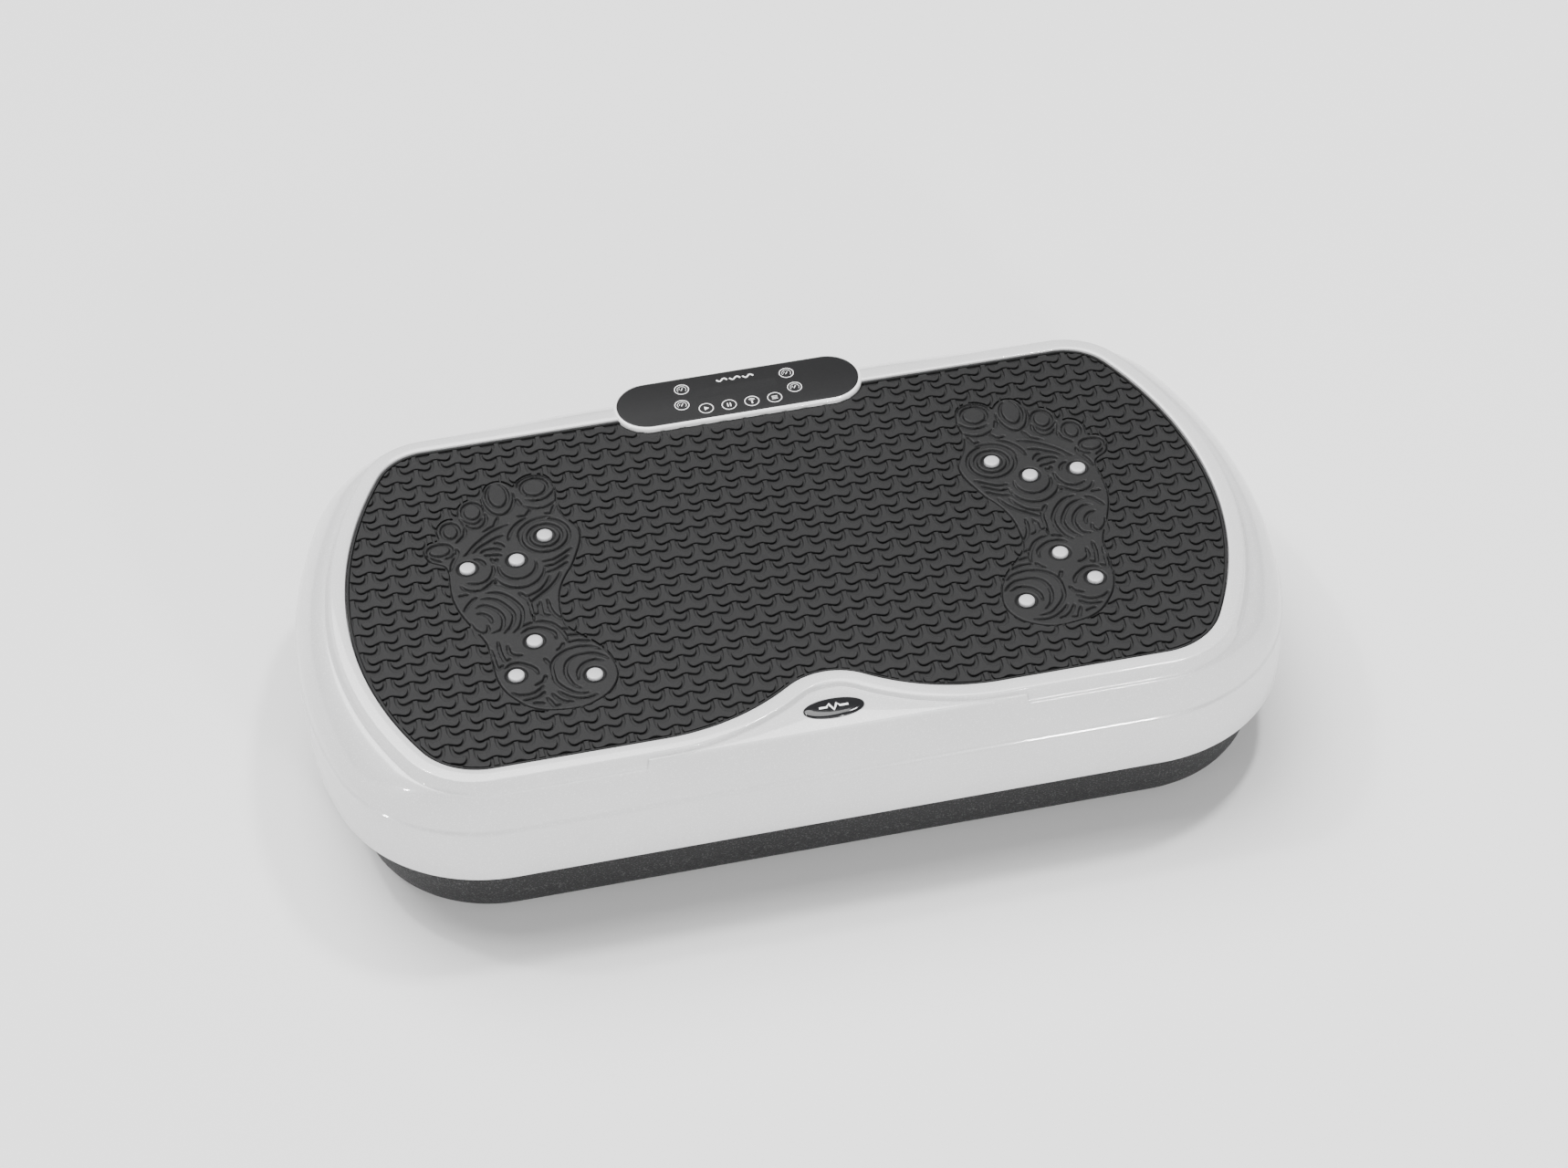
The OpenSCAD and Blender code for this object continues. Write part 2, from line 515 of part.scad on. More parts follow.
module board_standoffs() color([0.85, 0.85, 0.83]) for (sx = [-1, 1], sy = [-1, 1])
    translate([board_at[0] + sx * 50, board_at[1] + sy * 37, 0]) {
        translate([0, 0, chassis_z]) cylinder(r = 3.5, h = board_z - chassis_z);
        translate([0, 0, board_z]) cylinder(r = 1.7, h = 3.2);
        translate([0, 0, board_z + 1.6]) cylinder(r = 2.6, h = 1.6);
    }
module heat_sink() color([0.7, 0.71, 0.73]) translate([board_at[0] - 24, board_at[1] + 6, board_z + 1.6]) {
    cube([60, 30, 4]);
    for (i = [0 : 6]) translate([0, i * 4.8, 4]) cube([60, 1.2, 22]);
}
module board_capacitor() color([0.15, 0.18, 0.3])
    translate([board_at[0] + 28, board_at[1] - 22, board_z + 1.6])
    cylinder(r = 13, h = 34);
module terminal_blocks() color([0.2, 0.45, 0.25]) for (y = [-32, -12]) difference() {
    translate([board_at[0] - 52, board_at[1] + y, board_z + 1.6]) cube([10, 16, 11]);
    for (i = [0, 1]) translate([board_at[0] - 47, board_at[1] + y + 4.5 + i * 7, board_z + 6])
        cylinder(r = 2, h = 10);
}
module mains_leads() color([0.2, 0.2, 0.21]) for (i = [0, 1]) let (
        start_x = inlet_x + 4 - i * 8,
        lane_y = lead_lane_y - i * lead_pitch / 2,
        end = [terminal_x, board_at[1] - 1 - i * lead_pitch, board_z + 5])
    cable([[start_x, rear_face_y - 25, socket_z], [start_x, lane_y, socket_z - 8],
        [-100, lane_y, lead_z], [44 - i * 4, lane_y, lead_z], end - [8 + i * 3, 0, 3], end], lead_r);
module motor_leads() color([0.6, 0.12, 0.1]) for (i = [0, 1]) let (
        start = [motor_x + motor_r + 0.2, -52 - i * 5, drive_z],
        lane_y = -94 - i * lead_pitch / 2,
        end = [terminal_x, board_at[1] - 21 - i * lead_pitch, board_z + 5])
    cable([start, start + [6, 0, 0], [start[0] + 10, start[1] - 10, lead_z - 1],
        [-40, lane_y, lead_z - 1], [52 + i * 4, lane_y, lead_z - 1], end - [11 - i * 3, 0, 3], end], lead_r);
module power_inlet() color([0.1, 0.1, 0.11]) difference() {
    union() {
        translate([inlet_x - 24, rear_face_y, socket_z - 12.5]) cube([48, 2, 25]);
        translate([inlet_x - 14, rear_face_y - 24, socket_z - 10.5]) cube([28, 24, 21]);
    }
    translate([inlet_x - 12, rear_face_y - 15, socket_z - 8]) cube([24, 20, 16]);
    for (s = [-1, 1]) translate([inlet_x + s * 19.5, rear_face_y + 3, socket_z]) rotate([90, 0, 0])
        cylinder(r = 1.6, h = 4);
}
module inlet_pins() color([0.8, 0.8, 0.82]) for (p = [[-7, -2], [0, 2], [7, -2]])
    translate([inlet_x + p[0] - 1, rear_face_y - 15, socket_z + p[1] - 2]) cube([2, 9.5, 4]);
module switch_housing() color([0.1, 0.1, 0.11]) difference() {
    union() {
        translate([switch_x - 11, rear_face_y, socket_z - 8.5]) cube([22, 1.6, 17]);
        translate([switch_x - 9, rear_face_y - 16, socket_z - 6.5]) cube([18, 16, 13]);
    }
    translate([switch_x - 7.5, rear_face_y - 6, socket_z - 5.6]) cube([15, 12, 11.2]);
}

// ---- eccentric shaft ----
module eccentric_shaft() color([0.75, 0.76, 0.78]) {
    bar_y(crank_x, drive_z, crank_shaft_r, -24, belt_y + 9);
    bar_y(eccentric_x, drive_z, eccentric_r, rod_y - 9, rod_y + 9);
}
// Flanged pulley along Y with a hub, a web and a rim
module pulley(x, r, shaft_r) translate([x, belt_y, drive_z]) rotate([-90, 0, 0]) difference() {
    union() {
        cylinder(r = r, h = groove_w, center = true);
        for (s = [-1, 1]) translate([0, 0, s * (groove_w / 2 + 0.7)])
            cylinder(r = r + 2.4, h = 1.4, center = true);
    }
    cylinder(r = shaft_r, h = 40, center = true);
    if (r > 20) for (a = [0 : 60 : 300]) rotate(a) translate([r * 0.56, 0, 0])
        cylinder(r = 5, h = 40, center = true);
}
module large_pulley() color([0.55, 0.56, 0.58]) pulley(crank_x, big_pulley_r, crank_shaft_r);

// ---- rotor ----
module motor_shaft() color([0.78, 0.79, 0.8])
    bar_y(motor_x, drive_z, motor_shaft_r, motor_back_y - 16, belt_y + 8);
module rotor_core() color([0.35, 0.35, 0.37]) difference() {
    bar_y(motor_x, drive_z, motor_r - 7.2, -42, 22);
    bar_y(motor_x, drive_z, motor_shaft_r, -43, 23);
    for (a = [0 : 45 : 315]) translate([motor_x, -44, drive_z]) rotate([0, a, 0])
        translate([motor_r - 12, 0, -1.2]) cube([6, 68, 2.4]);
}
module commutator() color([0.72, 0.45, 0.2]) difference() {
    bar_y(motor_x, drive_z, 9, 25, 36);
    bar_y(motor_x, drive_z, motor_shaft_r, 24, 37);
}
module small_pulley() color([0.55, 0.56, 0.58]) pulley(motor_x, small_pulley_r, motor_shaft_r);
module cooling_fan() color([0.2, 0.2, 0.21])
    translate([motor_x, motor_back_y - 13, drive_z]) rotate([-90, 0, 0]) difference() {
        union() {
            cylinder(r = 8, h = 6);
            cylinder(r = 21, h = 1.2);
            for (a = [0 : 40 : 320]) rotate(a) translate([6, -0.7, 0]) cube([15, 1.4, 6]);
        }
        translate([0, 0, -1]) cylinder(r = motor_shaft_r, h = 8);
    }

// ---- rod ----
module connecting_rod() color([0.62, 0.63, 0.65]) difference() {
    translate([eccentric_x, rod_y + rod_w / 2, 0]) rotate([90, 0, 0]) linear_extrude(rod_w) hull() {
        translate([0, drive_z]) circle(23);
        translate([0, link_z]) circle(15);
    }
    bar_y(eccentric_x, drive_z, rod_bearing_r, rod_y - rod_w, rod_y + rod_w);
    bar_y(eccentric_x, link_z, bush_r, rod_y - rod_w, rod_y + rod_w);
}
module rod_bearing() color([0.8, 0.81, 0.82]) translate([eccentric_x, rod_y, drive_z])
    bearing(eccentric_r + running, rod_bearing_r, rod_w);
module rod_bush() color([0.14, 0.14, 0.15]) difference() {
    bar_y(eccentric_x, link_z, bush_r, rod_y - rod_w / 2, rod_y + rod_w / 2);
    bar_y(eccentric_x, link_z, bush_bore_r, rod_y - rod_w, rod_y + rod_w);
}

// ---- switch rocker, drawn in its off position ----
module power_rocker() color([0.55, 0.08, 0.07]) translate([switch_x, rear_face_y - 1, socket_z])
    rotate([-rocker_tilt, 0, 0]) rotate([90, 0, 90]) {
        cylinder(r = 1, h = 14.8, center = true);
        translate([0, 0, -7]) linear_extrude(14)
            polygon([[-3.5, 0], [-2, -4.6], [1.2, -4.7], [2.3, -4.2],
                [1.5, 0], [2.3, 4.2], [1.2, 4.7], [-2, 4.6]]);
    }

top_shell();
rubber_mat();
magnet_studs();
panel_housing();
panel_overlay();
display_module();
touch_board();
front_badge();
swing_plate();
swing_channels();
shaft_clamps();
clamp_bolts();
pivot_shaft();
link_brackets();
link_pin();
shell_screws();
base_tray();
rubber_feet();
foot_screws();
chassis_plate();
chassis_screws();
bearing_blocks();
pivot_bearings();
block_bolts();
motor_can();
motor_end_bells();
motor_magnets();
motor_saddles();
motor_straps();
crank_blocks();
crank_bearings();
drive_belt();
buffer_posts();
buffer_pads();
driver_board();
board_standoffs();
heat_sink();
board_capacitor();
terminal_blocks();
mains_leads();
motor_leads();
power_inlet();
inlet_pins();
switch_housing();
eccentric_shaft();
large_pulley();
motor_shaft();
rotor_core();
commutator();
small_pulley();
cooling_fan();
connecting_rod();
rod_bearing();
rod_bush();
power_rocker();
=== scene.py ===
import json
import math

import bmesh
import bpy
import numpy as np
from mathutils import Matrix, Vector


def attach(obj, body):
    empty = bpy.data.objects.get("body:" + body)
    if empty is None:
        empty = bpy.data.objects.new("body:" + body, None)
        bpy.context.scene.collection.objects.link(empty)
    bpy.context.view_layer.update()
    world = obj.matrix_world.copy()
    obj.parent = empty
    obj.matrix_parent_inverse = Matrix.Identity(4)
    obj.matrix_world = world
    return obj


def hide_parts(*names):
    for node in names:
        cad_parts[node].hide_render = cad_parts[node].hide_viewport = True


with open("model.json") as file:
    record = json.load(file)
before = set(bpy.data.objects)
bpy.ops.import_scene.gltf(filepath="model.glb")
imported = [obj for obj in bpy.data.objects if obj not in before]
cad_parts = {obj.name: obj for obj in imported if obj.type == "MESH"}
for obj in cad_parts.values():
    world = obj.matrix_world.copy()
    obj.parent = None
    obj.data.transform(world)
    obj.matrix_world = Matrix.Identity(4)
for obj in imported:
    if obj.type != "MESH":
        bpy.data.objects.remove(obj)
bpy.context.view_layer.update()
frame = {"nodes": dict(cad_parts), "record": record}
MM = 0.001

# ---------------------------------------------------------------- camera
CAMERA_AT = (-0.2335, -1.3009, 1.3653)
LENS_MM, SENSOR_MM = 78.25, 36
elevation = math.radians(44.295)
azimuth = math.radians(-10.186)
roll = math.radians(-2.3945)
reach = math.cos(elevation)
forward = Vector((-math.sin(azimuth) * reach, math.cos(azimuth) * reach, -math.sin(elevation)))
level = Vector((math.cos(azimuth), math.sin(azimuth), 0))
upward = level.cross(forward)
right = math.cos(roll) * level + math.sin(roll) * upward
up = math.cos(roll) * upward - math.sin(roll) * level
camera = bpy.data.objects.new("camera", bpy.data.cameras.new("camera"))
camera.data.sensor_width = SENSOR_MM
camera.data.lens = LENS_MM
camera.data.clip_end = 60
camera_turn = Matrix((right, up, -forward)).transposed()
camera.matrix_world = Matrix.Translation(CAMERA_AT) @ camera_turn.to_4x4()
bpy.context.scene.collection.objects.link(camera)
bpy.context.scene.camera = camera


# ---------------------------------------------------------------- mesh helpers
def add_mesh(name, points, faces, material, body, smooth=30, fix_normals=True):
    """A mesh from points in millimetres, smooth except at edges sharper than the angle."""
    mesh = bpy.data.meshes.new(name)
    mesh.from_pydata([(x * MM, y * MM, z * MM) for x, y, z in points], [], faces)
    mesh.validate()
    if fix_normals:
        bm = bmesh.new()
        bm.from_mesh(mesh)
        bmesh.ops.recalc_face_normals(bm, faces=bm.faces)
        bm.to_mesh(mesh)
        bm.free()
    mesh.shade_smooth()
    mesh.set_sharp_from_angle(angle=math.radians(smooth))
    if material:
        mesh.materials.append(material)
    obj = bpy.data.objects.new(name, mesh)
    bpy.context.scene.collection.objects.link(obj)
    if body:
        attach(obj, body)
    return obj


def flat(outline, z):
    """The points of a plan outline at one height."""
    return [(x, y, z) for x, y in outline]


class Build:
    """Collects points and faces of one piece."""

    def __init__(self):
        self.points = []
        self.faces = []

    def ring(self, ring):
        """Adds points and returns their numbers."""
        start = len(self.points)
        self.points += ring
        return list(range(start, start + len(ring)))

    def band(self, a, b, closed=True):
        """Quads between two rows of point numbers."""
        n = len(a)
        for i in range(n if closed else n - 1):
            j = (i + 1) % n
            self.faces.append((a[i], a[j], b[j], b[i]))

    def loft(self, rings, caps=True):
        """A skin through rings of equal length, with its first and last ring filled in."""
        ids = [self.ring(r) for r in rings]
        for a, b in zip(ids, ids[1:]):
            self.band(a, b)
        if caps:
            self.faces.append(tuple(reversed(ids[0])))
            self.faces.append(tuple(ids[-1]))

    def lathe(self, profile, at, n):
        """A closed solid turned round the vertical through at from (radius, height) pairs."""
        turns = [(math.cos(2 * math.pi * k / n), math.sin(2 * math.pi * k / n)) for k in range(n)]
        self.loft([[(at[0] + r * c, at[1] + r * s, z) for c, s in turns] for r, z in profile])

    def slab(self, outline, z0, z1, bevel):
        """A flat raised shape with a bevelled upper edge."""
        self.loft([flat(outline, z0), flat(outline, z1 - bevel * 0.8), flat(inset(outline, bevel), z1)])

    def object(self, name, material, body, smooth=30):
        return add_mesh(name, self.points, self.faces, material, body, smooth)


def inset(outline, d):
    """The outline moved inwards by d, for points that run anticlockwise."""
    moved = []
    n = len(outline)
    for i, (x, y) in enumerate(outline):
        ax, ay = outline[i - 1]
        bx, by = outline[(i + 1) % n]
        ux, uy = x - ax, y - ay
        vx, vy = bx - x, by - y
        lu, lv = math.hypot(ux, uy) or 1, math.hypot(vx, vy) or 1
        nx, ny = -(uy / lu + vy / lv), ux / lu + vx / lv
        scale = d / max(0.55, (nx * nx + ny * ny) ** 0.5 / 2) / (math.hypot(nx, ny) or 1)
        moved.append((x + nx * scale, y + ny * scale))
    return moved


def apply_booleans(target, jobs, smooth):
    """Adds or cuts each (solid, operation) on the target for good, and shades what is left."""
    for tool, operation in jobs:
        boolean = target.modifiers.new(tool.name, "BOOLEAN")
        boolean.operation = operation
        boolean.solver = "EXACT"
        boolean.object = tool
    bpy.context.view_layer.update()
    mesh = bpy.data.meshes.new_from_object(target.evaluated_get(bpy.context.evaluated_depsgraph_get()))
    target.modifiers.clear()
    target.data = mesh
    for tool, _ in jobs:
        bpy.data.objects.remove(tool)
    mesh.shade_smooth()
    mesh.set_sharp_from_angle(angle=math.radians(smooth))


def rectangle(x0, y0, x1, y1):
    return [(x0, y0), (x1, y0), (x1, y1), (x0, y1)]


def prism(outline, z0, z1, name, material=None):
    """A plain upright solid used to cut others or to join them."""
    block = Build()
    block.loft([flat(outline, z0), flat(outline, z1)])
    return block.object(name, material, None)


def smoothstep(a, b, x):
    """0 at a, 1 at b, and an even S curve between them."""
    t = min(1, max(0, (x - a) / (b - a)))
    return t * t * (3 - 2 * t)


# ---------------------------------------------------------------- materials
def material(name, colour, rough, grain, metallic=0.0, colour_shift=0.1, bump=0.05, rough_shift=0.08,
             stretch=(1, 1, 1), coat=0.0, fleck=0.0, fleck_scale=1500.0, specular=0.5):
    """A procedural material: tone and roughness vary with two sizes of noise, the surface has fine grain,
    and fleck adds a scatter of lighter points."""
    m = bpy.data.materials.new(name)
    m.use_nodes = True
    nodes, links = m.node_tree.nodes, m.node_tree.links
    shader = nodes["Principled BSDF"]
    shader.inputs["Metallic"].default_value = metallic
    shader.inputs["Coat Weight"].default_value = coat
    shader.inputs["Coat Roughness"].default_value = 0.04
    shader.inputs["Specular IOR Level"].default_value = specular
    place = nodes.new("ShaderNodeTexCoord")
    mapping = nodes.new("ShaderNodeMapping")
    mapping.inputs["Scale"].default_value = stretch
    links.new(place.outputs["Object"], mapping.inputs["Vector"])

    def noise(scale, detail):
        n = nodes.new("ShaderNodeTexNoise")
        n.inputs["Scale"].default_value = scale
        n.inputs["Detail"].default_value = detail
        links.new(mapping.outputs["Vector"], n.inputs["Vector"])
        return n

    cloud = noise(14, 3)
    fine = noise(grain, 2)
    mix = nodes.new("ShaderNodeMix")
    mix.data_type = "FLOAT"
    mix.inputs[0].default_value = 0.5
    links.new(cloud.outputs["Fac"], mix.inputs[2])
    links.new(fine.outputs["Fac"], mix.inputs[3])
    ramp = nodes.new("ShaderNodeValToRGB")
    low = [c * (1 - colour_shift) for c in colour]
    high = [min(1, c * (1 + colour_shift)) for c in colour]
    ramp.color_ramp.elements[0].position = 0.32
    ramp.color_ramp.elements[0].color = (*low, 1)
    ramp.color_ramp.elements[1].position = 0.68
    ramp.color_ramp.elements[1].color = (*high, 1)
    links.new(mix.outputs[0], ramp.inputs["Fac"])
    colour_out = ramp.outputs["Color"]
    if fleck:
        dots = noise(fleck_scale, 0)
        pick = nodes.new("ShaderNodeMapRange")
        pick.inputs["From Min"].default_value = 0.6
        pick.inputs["From Max"].default_value = 0.72
        pick.inputs["To Max"].default_value = fleck
        links.new(dots.outputs["Fac"], pick.inputs["Value"])
        blend = nodes.new("ShaderNodeMix")
        blend.data_type = "RGBA"
        blend.inputs[7].default_value = (*[min(1, c * 1.6 + 0.06) for c in colour], 1)
        links.new(pick.outputs["Result"], blend.inputs[0])
        links.new(colour_out, blend.inputs[6])
        colour_out = blend.outputs[2]
    links.new(colour_out, shader.inputs["Base Color"])
    spread = nodes.new("ShaderNodeMapRange")
    spread.inputs["From Min"].default_value = 0.3
    spread.inputs["From Max"].default_value = 0.7
    spread.inputs["To Min"].default_value = max(0.02, rough - rough_shift)
    spread.inputs["To Max"].default_value = min(1, rough + rough_shift)
    links.new(mix.outputs[0], spread.inputs["Value"])
    links.new(spread.outputs["Result"], shader.inputs["Roughness"])
    relief = nodes.new("ShaderNodeBump")
    relief.inputs["Strength"].default_value = bump
    relief.inputs["Distance"].default_value = 0.0004
    links.new(fine.outputs["Fac"], relief.inputs["Height"])
    links.new(relief.outputs["Normal"], shader.inputs["Normal"])
    return m


SHELL_GREY = (0.57, 0.57, 0.573)
looks = {
    "shell_gloss": material("pearl_gloss_plastic", SHELL_GREY, rough=0.32, grain=1800, colour_shift=0.05,
        bump=0.02, rough_shift=0.04, coat=1.0, fleck=0.25, fleck_scale=1400),
    "mat_rubber": material("moulded_mat_rubber", (0.0098, 0.0098, 0.0101), rough=0.5, grain=1600,
        colour_shift=0.14, bump=0.25, rough_shift=0.08, specular=0.18),
    "stud_steel": material("satin_stud_steel", (0.42, 0.42, 0.43), rough=0.5, metallic=0.2, grain=1800,
        colour_shift=0.08, bump=0.2, fleck=0.3, fleck_scale=2500),
    "bezel_gloss": material("white_bezel_gloss", (0.82, 0.82, 0.82), rough=0.12, grain=900,
        colour_shift=0.02, bump=0.02, rough_shift=0.03, coat=0.5),
    "overlay_film": material("tinted_panel_film", (0.0105, 0.0105, 0.011), rough=0.42, grain=1900,
        colour_shift=0.08, bump=0.12, rough_shift=0.05, specular=0.12),
    "display_black": material("display_black", (0.012, 0.012, 0.013), rough=0.12, grain=700, bump=0.02),
    "circuit_board": material("solder_mask_green", (0.02, 0.13, 0.05), rough=0.35, grain=300,
        colour_shift=0.3, bump=0.15),
    "badge_black": material("badge_black_gloss", (0.008, 0.008, 0.009), rough=0.1, grain=800, bump=0.01,
        rough_shift=0.02, coat=0.3, specular=0.3),
    "tray_plastic": material("grained_tray_plastic", (0.0115, 0.0115, 0.012), rough=0.6, grain=1300,
        colour_shift=0.3, bump=1.0, fleck=0.5, fleck_scale=1100, specular=0.35),
    "rubber_black": material("foot_rubber", (0.018, 0.018, 0.019), rough=0.75, grain=900,
        colour_shift=0.2, bump=0.3),
    "zinc_steel": material("zinc_plated_sheet", (0.52, 0.53, 0.55), rough=0.36, metallic=1, grain=260,
        colour_shift=0.16, bump=0.08, stretch=(1, 6, 6)),
    "ground_steel": material("ground_steel", (0.62, 0.63, 0.64), rough=0.2, metallic=1, grain=500,
        colour_shift=0.08, bump=0.06, stretch=(1, 12, 1)),
    "dark_paint": material("dark_satin_paint", (0.06, 0.062, 0.066), rough=0.42, grain=700,
        colour_shift=0.12, bump=0.12),
    "cast_alloy": material("die_cast_alloy", (0.45, 0.46, 0.47), rough=0.52, metallic=1, grain=500,
        colour_shift=0.15, bump=0.4),
    "magnet_dark": material("sintered_ferrite", (0.05, 0.05, 0.052), rough=0.65, grain=900,
        colour_shift=0.2, bump=0.35),
    "lamination": material("stacked_laminations", (0.25, 0.25, 0.26), rough=0.4, metallic=1, grain=300,
        colour_shift=0.25, bump=0.4, stretch=(1, 40, 1)),
    "copper_brass": material("turned_copper", (0.72, 0.40, 0.22), rough=0.28, metallic=1, grain=600,
        colour_shift=0.12, bump=0.1),
    "machined_alloy": material("extruded_alloy", (0.6, 0.61, 0.63), rough=0.32, metallic=1, grain=400,
        colour_shift=0.1, bump=0.12, stretch=(8, 1, 8)),
    "capacitor_sleeve": material("capacitor_sleeve", (0.02, 0.03, 0.10), rough=0.25, grain=500,
        colour_shift=0.12, bump=0.05),
    "terminal_green": material("terminal_green", (0.03, 0.17, 0.06), rough=0.45, grain=700,
        colour_shift=0.12, bump=0.08),
    "nylon": material("natural_nylon", (0.68, 0.67, 0.62), rough=0.5, grain=600, colour_shift=0.06,
        bump=0.08),
    "cable_dark": material("cable_dark", (0.02, 0.02, 0.021), rough=0.45, grain=900, colour_shift=0.15,
        bump=0.08),
    "cable_red": material("cable_red", (0.34, 0.018, 0.014), rough=0.42, grain=900, colour_shift=0.12,
        bump=0.08),
    "socket_black": material("socket_black", (0.013, 0.013, 0.014), rough=0.5, grain=1100,
        colour_shift=0.2, bump=0.2),
    "contact_plate": material("nickel_contacts", (0.66, 0.65, 0.62), rough=0.22, metallic=1, grain=500,
        colour_shift=0.08, bump=0.05),
    "rocker_red": material("rocker_red_gloss", (0.36, 0.012, 0.01), rough=0.2, grain=800,
        colour_shift=0.08, bump=0.03, coat=0.4),
}
print_white = material("printed_white", (0.85, 0.85, 0.85), rough=0.5, grain=2000, colour_shift=0.03,
    bump=0.03)
for entry in frame["record"]["subparts"]:
    slots = frame["nodes"][entry["node"]].data.materials
    slots.clear()
    slots.append(looks[entry["material_slot"]])

# ---------------------------------------------------------------- plan outlines, millimetres
# a plan: half length, rear and front edge, radii of the end's rear and front half, rear and front corner
APEX = -14.0
SHELL = (265, 148, -148, 304, 244, 87, 87)
MAT = (234.8, 112.3, -132.2, 226, 200, 30.5, 39)
# the mat's inward curve at the front: depth, half width, radius of its tip
NOTCH_RISE, NOTCH_HALF, TIP_R = 27.4, 87.0, 35.0
# width of the rim round the mat, and half the length of the flat land in front of it
RIM, LAND_HALF = 8.5, 98.0
RIM_Z, LAND_Z, FOOT_Z, CREASE_Z, LIP_Z = 112.8, 110.3, 105.0, 80.0, 46.0
POCKET_Z, CEILING_Z, BOSS_Z = 107.5, 103.5, 100
REAR_LIFT = 3.5
# where the shoulder ends, short of the wall and above the crease, and the thickness of the wall
CREASE_IN, CREASE_UP = 1.3, 2.4
SKIRT = 3
LAND_Y = MAT[2] - RIM - 1.6
FOOT_OUT = RIM + 2.8
# the control panel: its middle, half its length, radius of its ends
POD_Y, POD_HALF, POD_R = 119, 70.5, 19.8
# places of the points along the rear and front edges, close together where the land begins
REAR_X = [0, 20, 40, 55, 66, 72, 78, 84, 90, 97, 104, 112, 120, 128, 136]
FRONT_X = [146, 134, 122, 112, 104, 100, 99.2, 98.7, 98.3, 97.9, 97.4, 96.5, 94, 90]
FRONT_X += [NOTCH_HALF - 3 * k for k in range(30)]


def arc(cx, cy, r, a0, a1, n):
    """Points from angle a0 up to but not including a1, in radians."""
    angles = [a0 + (a1 - a0) * i / n for i in range(n)]
    return [(cx + r * math.cos(a), cy + r * math.sin(a)) for a in angles]


def stadium(half, r, n=28):
    """The control panel's outline: half its length, and the radius of its round ends."""
    ring = []
    for k in range(2 * n):
        a = math.pi * (k + 0.5) / n - math.pi / 2
        ring.append(((half - r) * (1 if k < n else -1) + r * math.cos(a), POD_Y + r * math.sin(a)))
    return ring


def pod_ring(d, z):
    """The panel's outline moved inwards by d, at height z."""
    return flat(stadium(POD_HALF - d, POD_R - d), z)


def half_points(plan, d=0.0):
    """Right half of a plan grown by d, from the middle of the rear edge to the middle of the front edge."""
    length, rear, front, rear_r, front_r, rear_c, front_c = plan
    length, rear, front = length + d, rear + d, front - d
    rear_r, front_r, rear_c, front_c = rear_r + d, front_r + d, rear_c + d, front_c + d
    rear_h, front_h = rear - rear_c - APEX, APEX - front - front_c
    rear_cx = length - rear_r + math.sqrt((rear_r - rear_c) ** 2 - rear_h ** 2)
    front_cx = length - front_r + math.sqrt((front_r - front_c) ** 2 - front_h ** 2)
    rear_a = math.asin(rear_h / (rear_r - rear_c))
    front_a = math.asin(front_h / (front_r - front_c))
    n = 22
    return ([(x, rear) for x in REAR_X]
            + arc(rear_cx, rear - rear_c, rear_c, math.pi / 2, rear_a, n)
            + arc(length - rear_r, APEX, rear_r, rear_a, 0, n)
            + arc(length - front_r, APEX, front_r, 0, -front_a, n)
            + arc(front_cx, front + front_c, front_c, -front_a, -math.pi / 2, n)
            + [(front_cx, front)] + [(x, front) for x in FRONT_X])


COUNT = len(half_points(SHELL))
FRONT_START = COUNT - len(FRONT_X)
FLARE_SUM = (NOTCH_HALF ** 2 + NOTCH_RISE ** 2) / (2 * NOTCH_RISE)
FLARE_R = FLARE_SUM - TIP_R


def notch_y(x, d):
    """The mat's front edge with its inward curve: a round tip between two flared sides."""
    tip = TIP_R - d
    if x < tip * NOTCH_HALF / FLARE_SUM:
        return MAT[2] + NOTCH_RISE - TIP_R + math.sqrt(tip * tip - x * x)
    if x < NOTCH_HALF:
        return MAT[2] + FLARE_R - math.sqrt((FLARE_R + d) ** 2 - (NOTCH_HALF - x) ** 2)
    return MAT[2] - d


def mat_half(d):
    """Right half of the mat's outline grown by d, with the inward curve."""
    points = half_points(MAT, d)
    return [p if i < FRONT_START else (p[0], notch_y(p[0], d)) for i, p in enumerate(points)]


def closed(half):
    """The whole ring from its right half."""
    return half + [(-p[0], *p[1:]) for p in half[-2:0:-1]]


# ---------------------------------------------------------------- top shell
# 1 where the front land runs, 0 where the rim drops straight to the shoulder's foot
land_weight = [smoothstep(LAND_HALF + 1.1, LAND_HALF - 0.3, p[0]) if i >= FRONT_START else 0.0
               for i, p in enumerate(half_points(SHELL))]
# the foot of the shoulder, lifted along the rear where the panel stands
foot = []
for i, (x, y) in enumerate(half_points(MAT, FOOT_OUT)):
    w = land_weight[i]
    z = FOOT_Z + (REAR_LIFT * (1 - smoothstep(80, 165, x)) if i <= len(REAR_X) else 0)
    foot.append((x, y + (LAND_Y - y) * w, z + (LAND_Z - z) * w))
crease = flat(half_points(SHELL, -CREASE_IN), CREASE_Z + CREASE_UP)


def step_ring(out, drop, land_out, land_z):
    """Ring between the rim and the foot: out from the mat's edge and a share of the drop to the foot."""
    ring = []
    for free, land, end, w in zip(mat_half(out), mat_half(land_out), foot, land_weight):
        z = RIM_Z - 0.8 + (end[2] * (1 - w) + FOOT_Z * w - RIM_Z + 0.8) * drop
        x, y = free[0] * (1 - w) + land[0] * w, free[1] * (1 - w) + land[1] * w
        ring.append((x, y, z * (1 - w) + land_z * w))
    return ring


def between(a, b, t):
    """The ring a share t of the way from a to b."""
    return [tuple(p + (q - p) * t for p, q in zip(u, v)) for u, v in zip(a, b)]


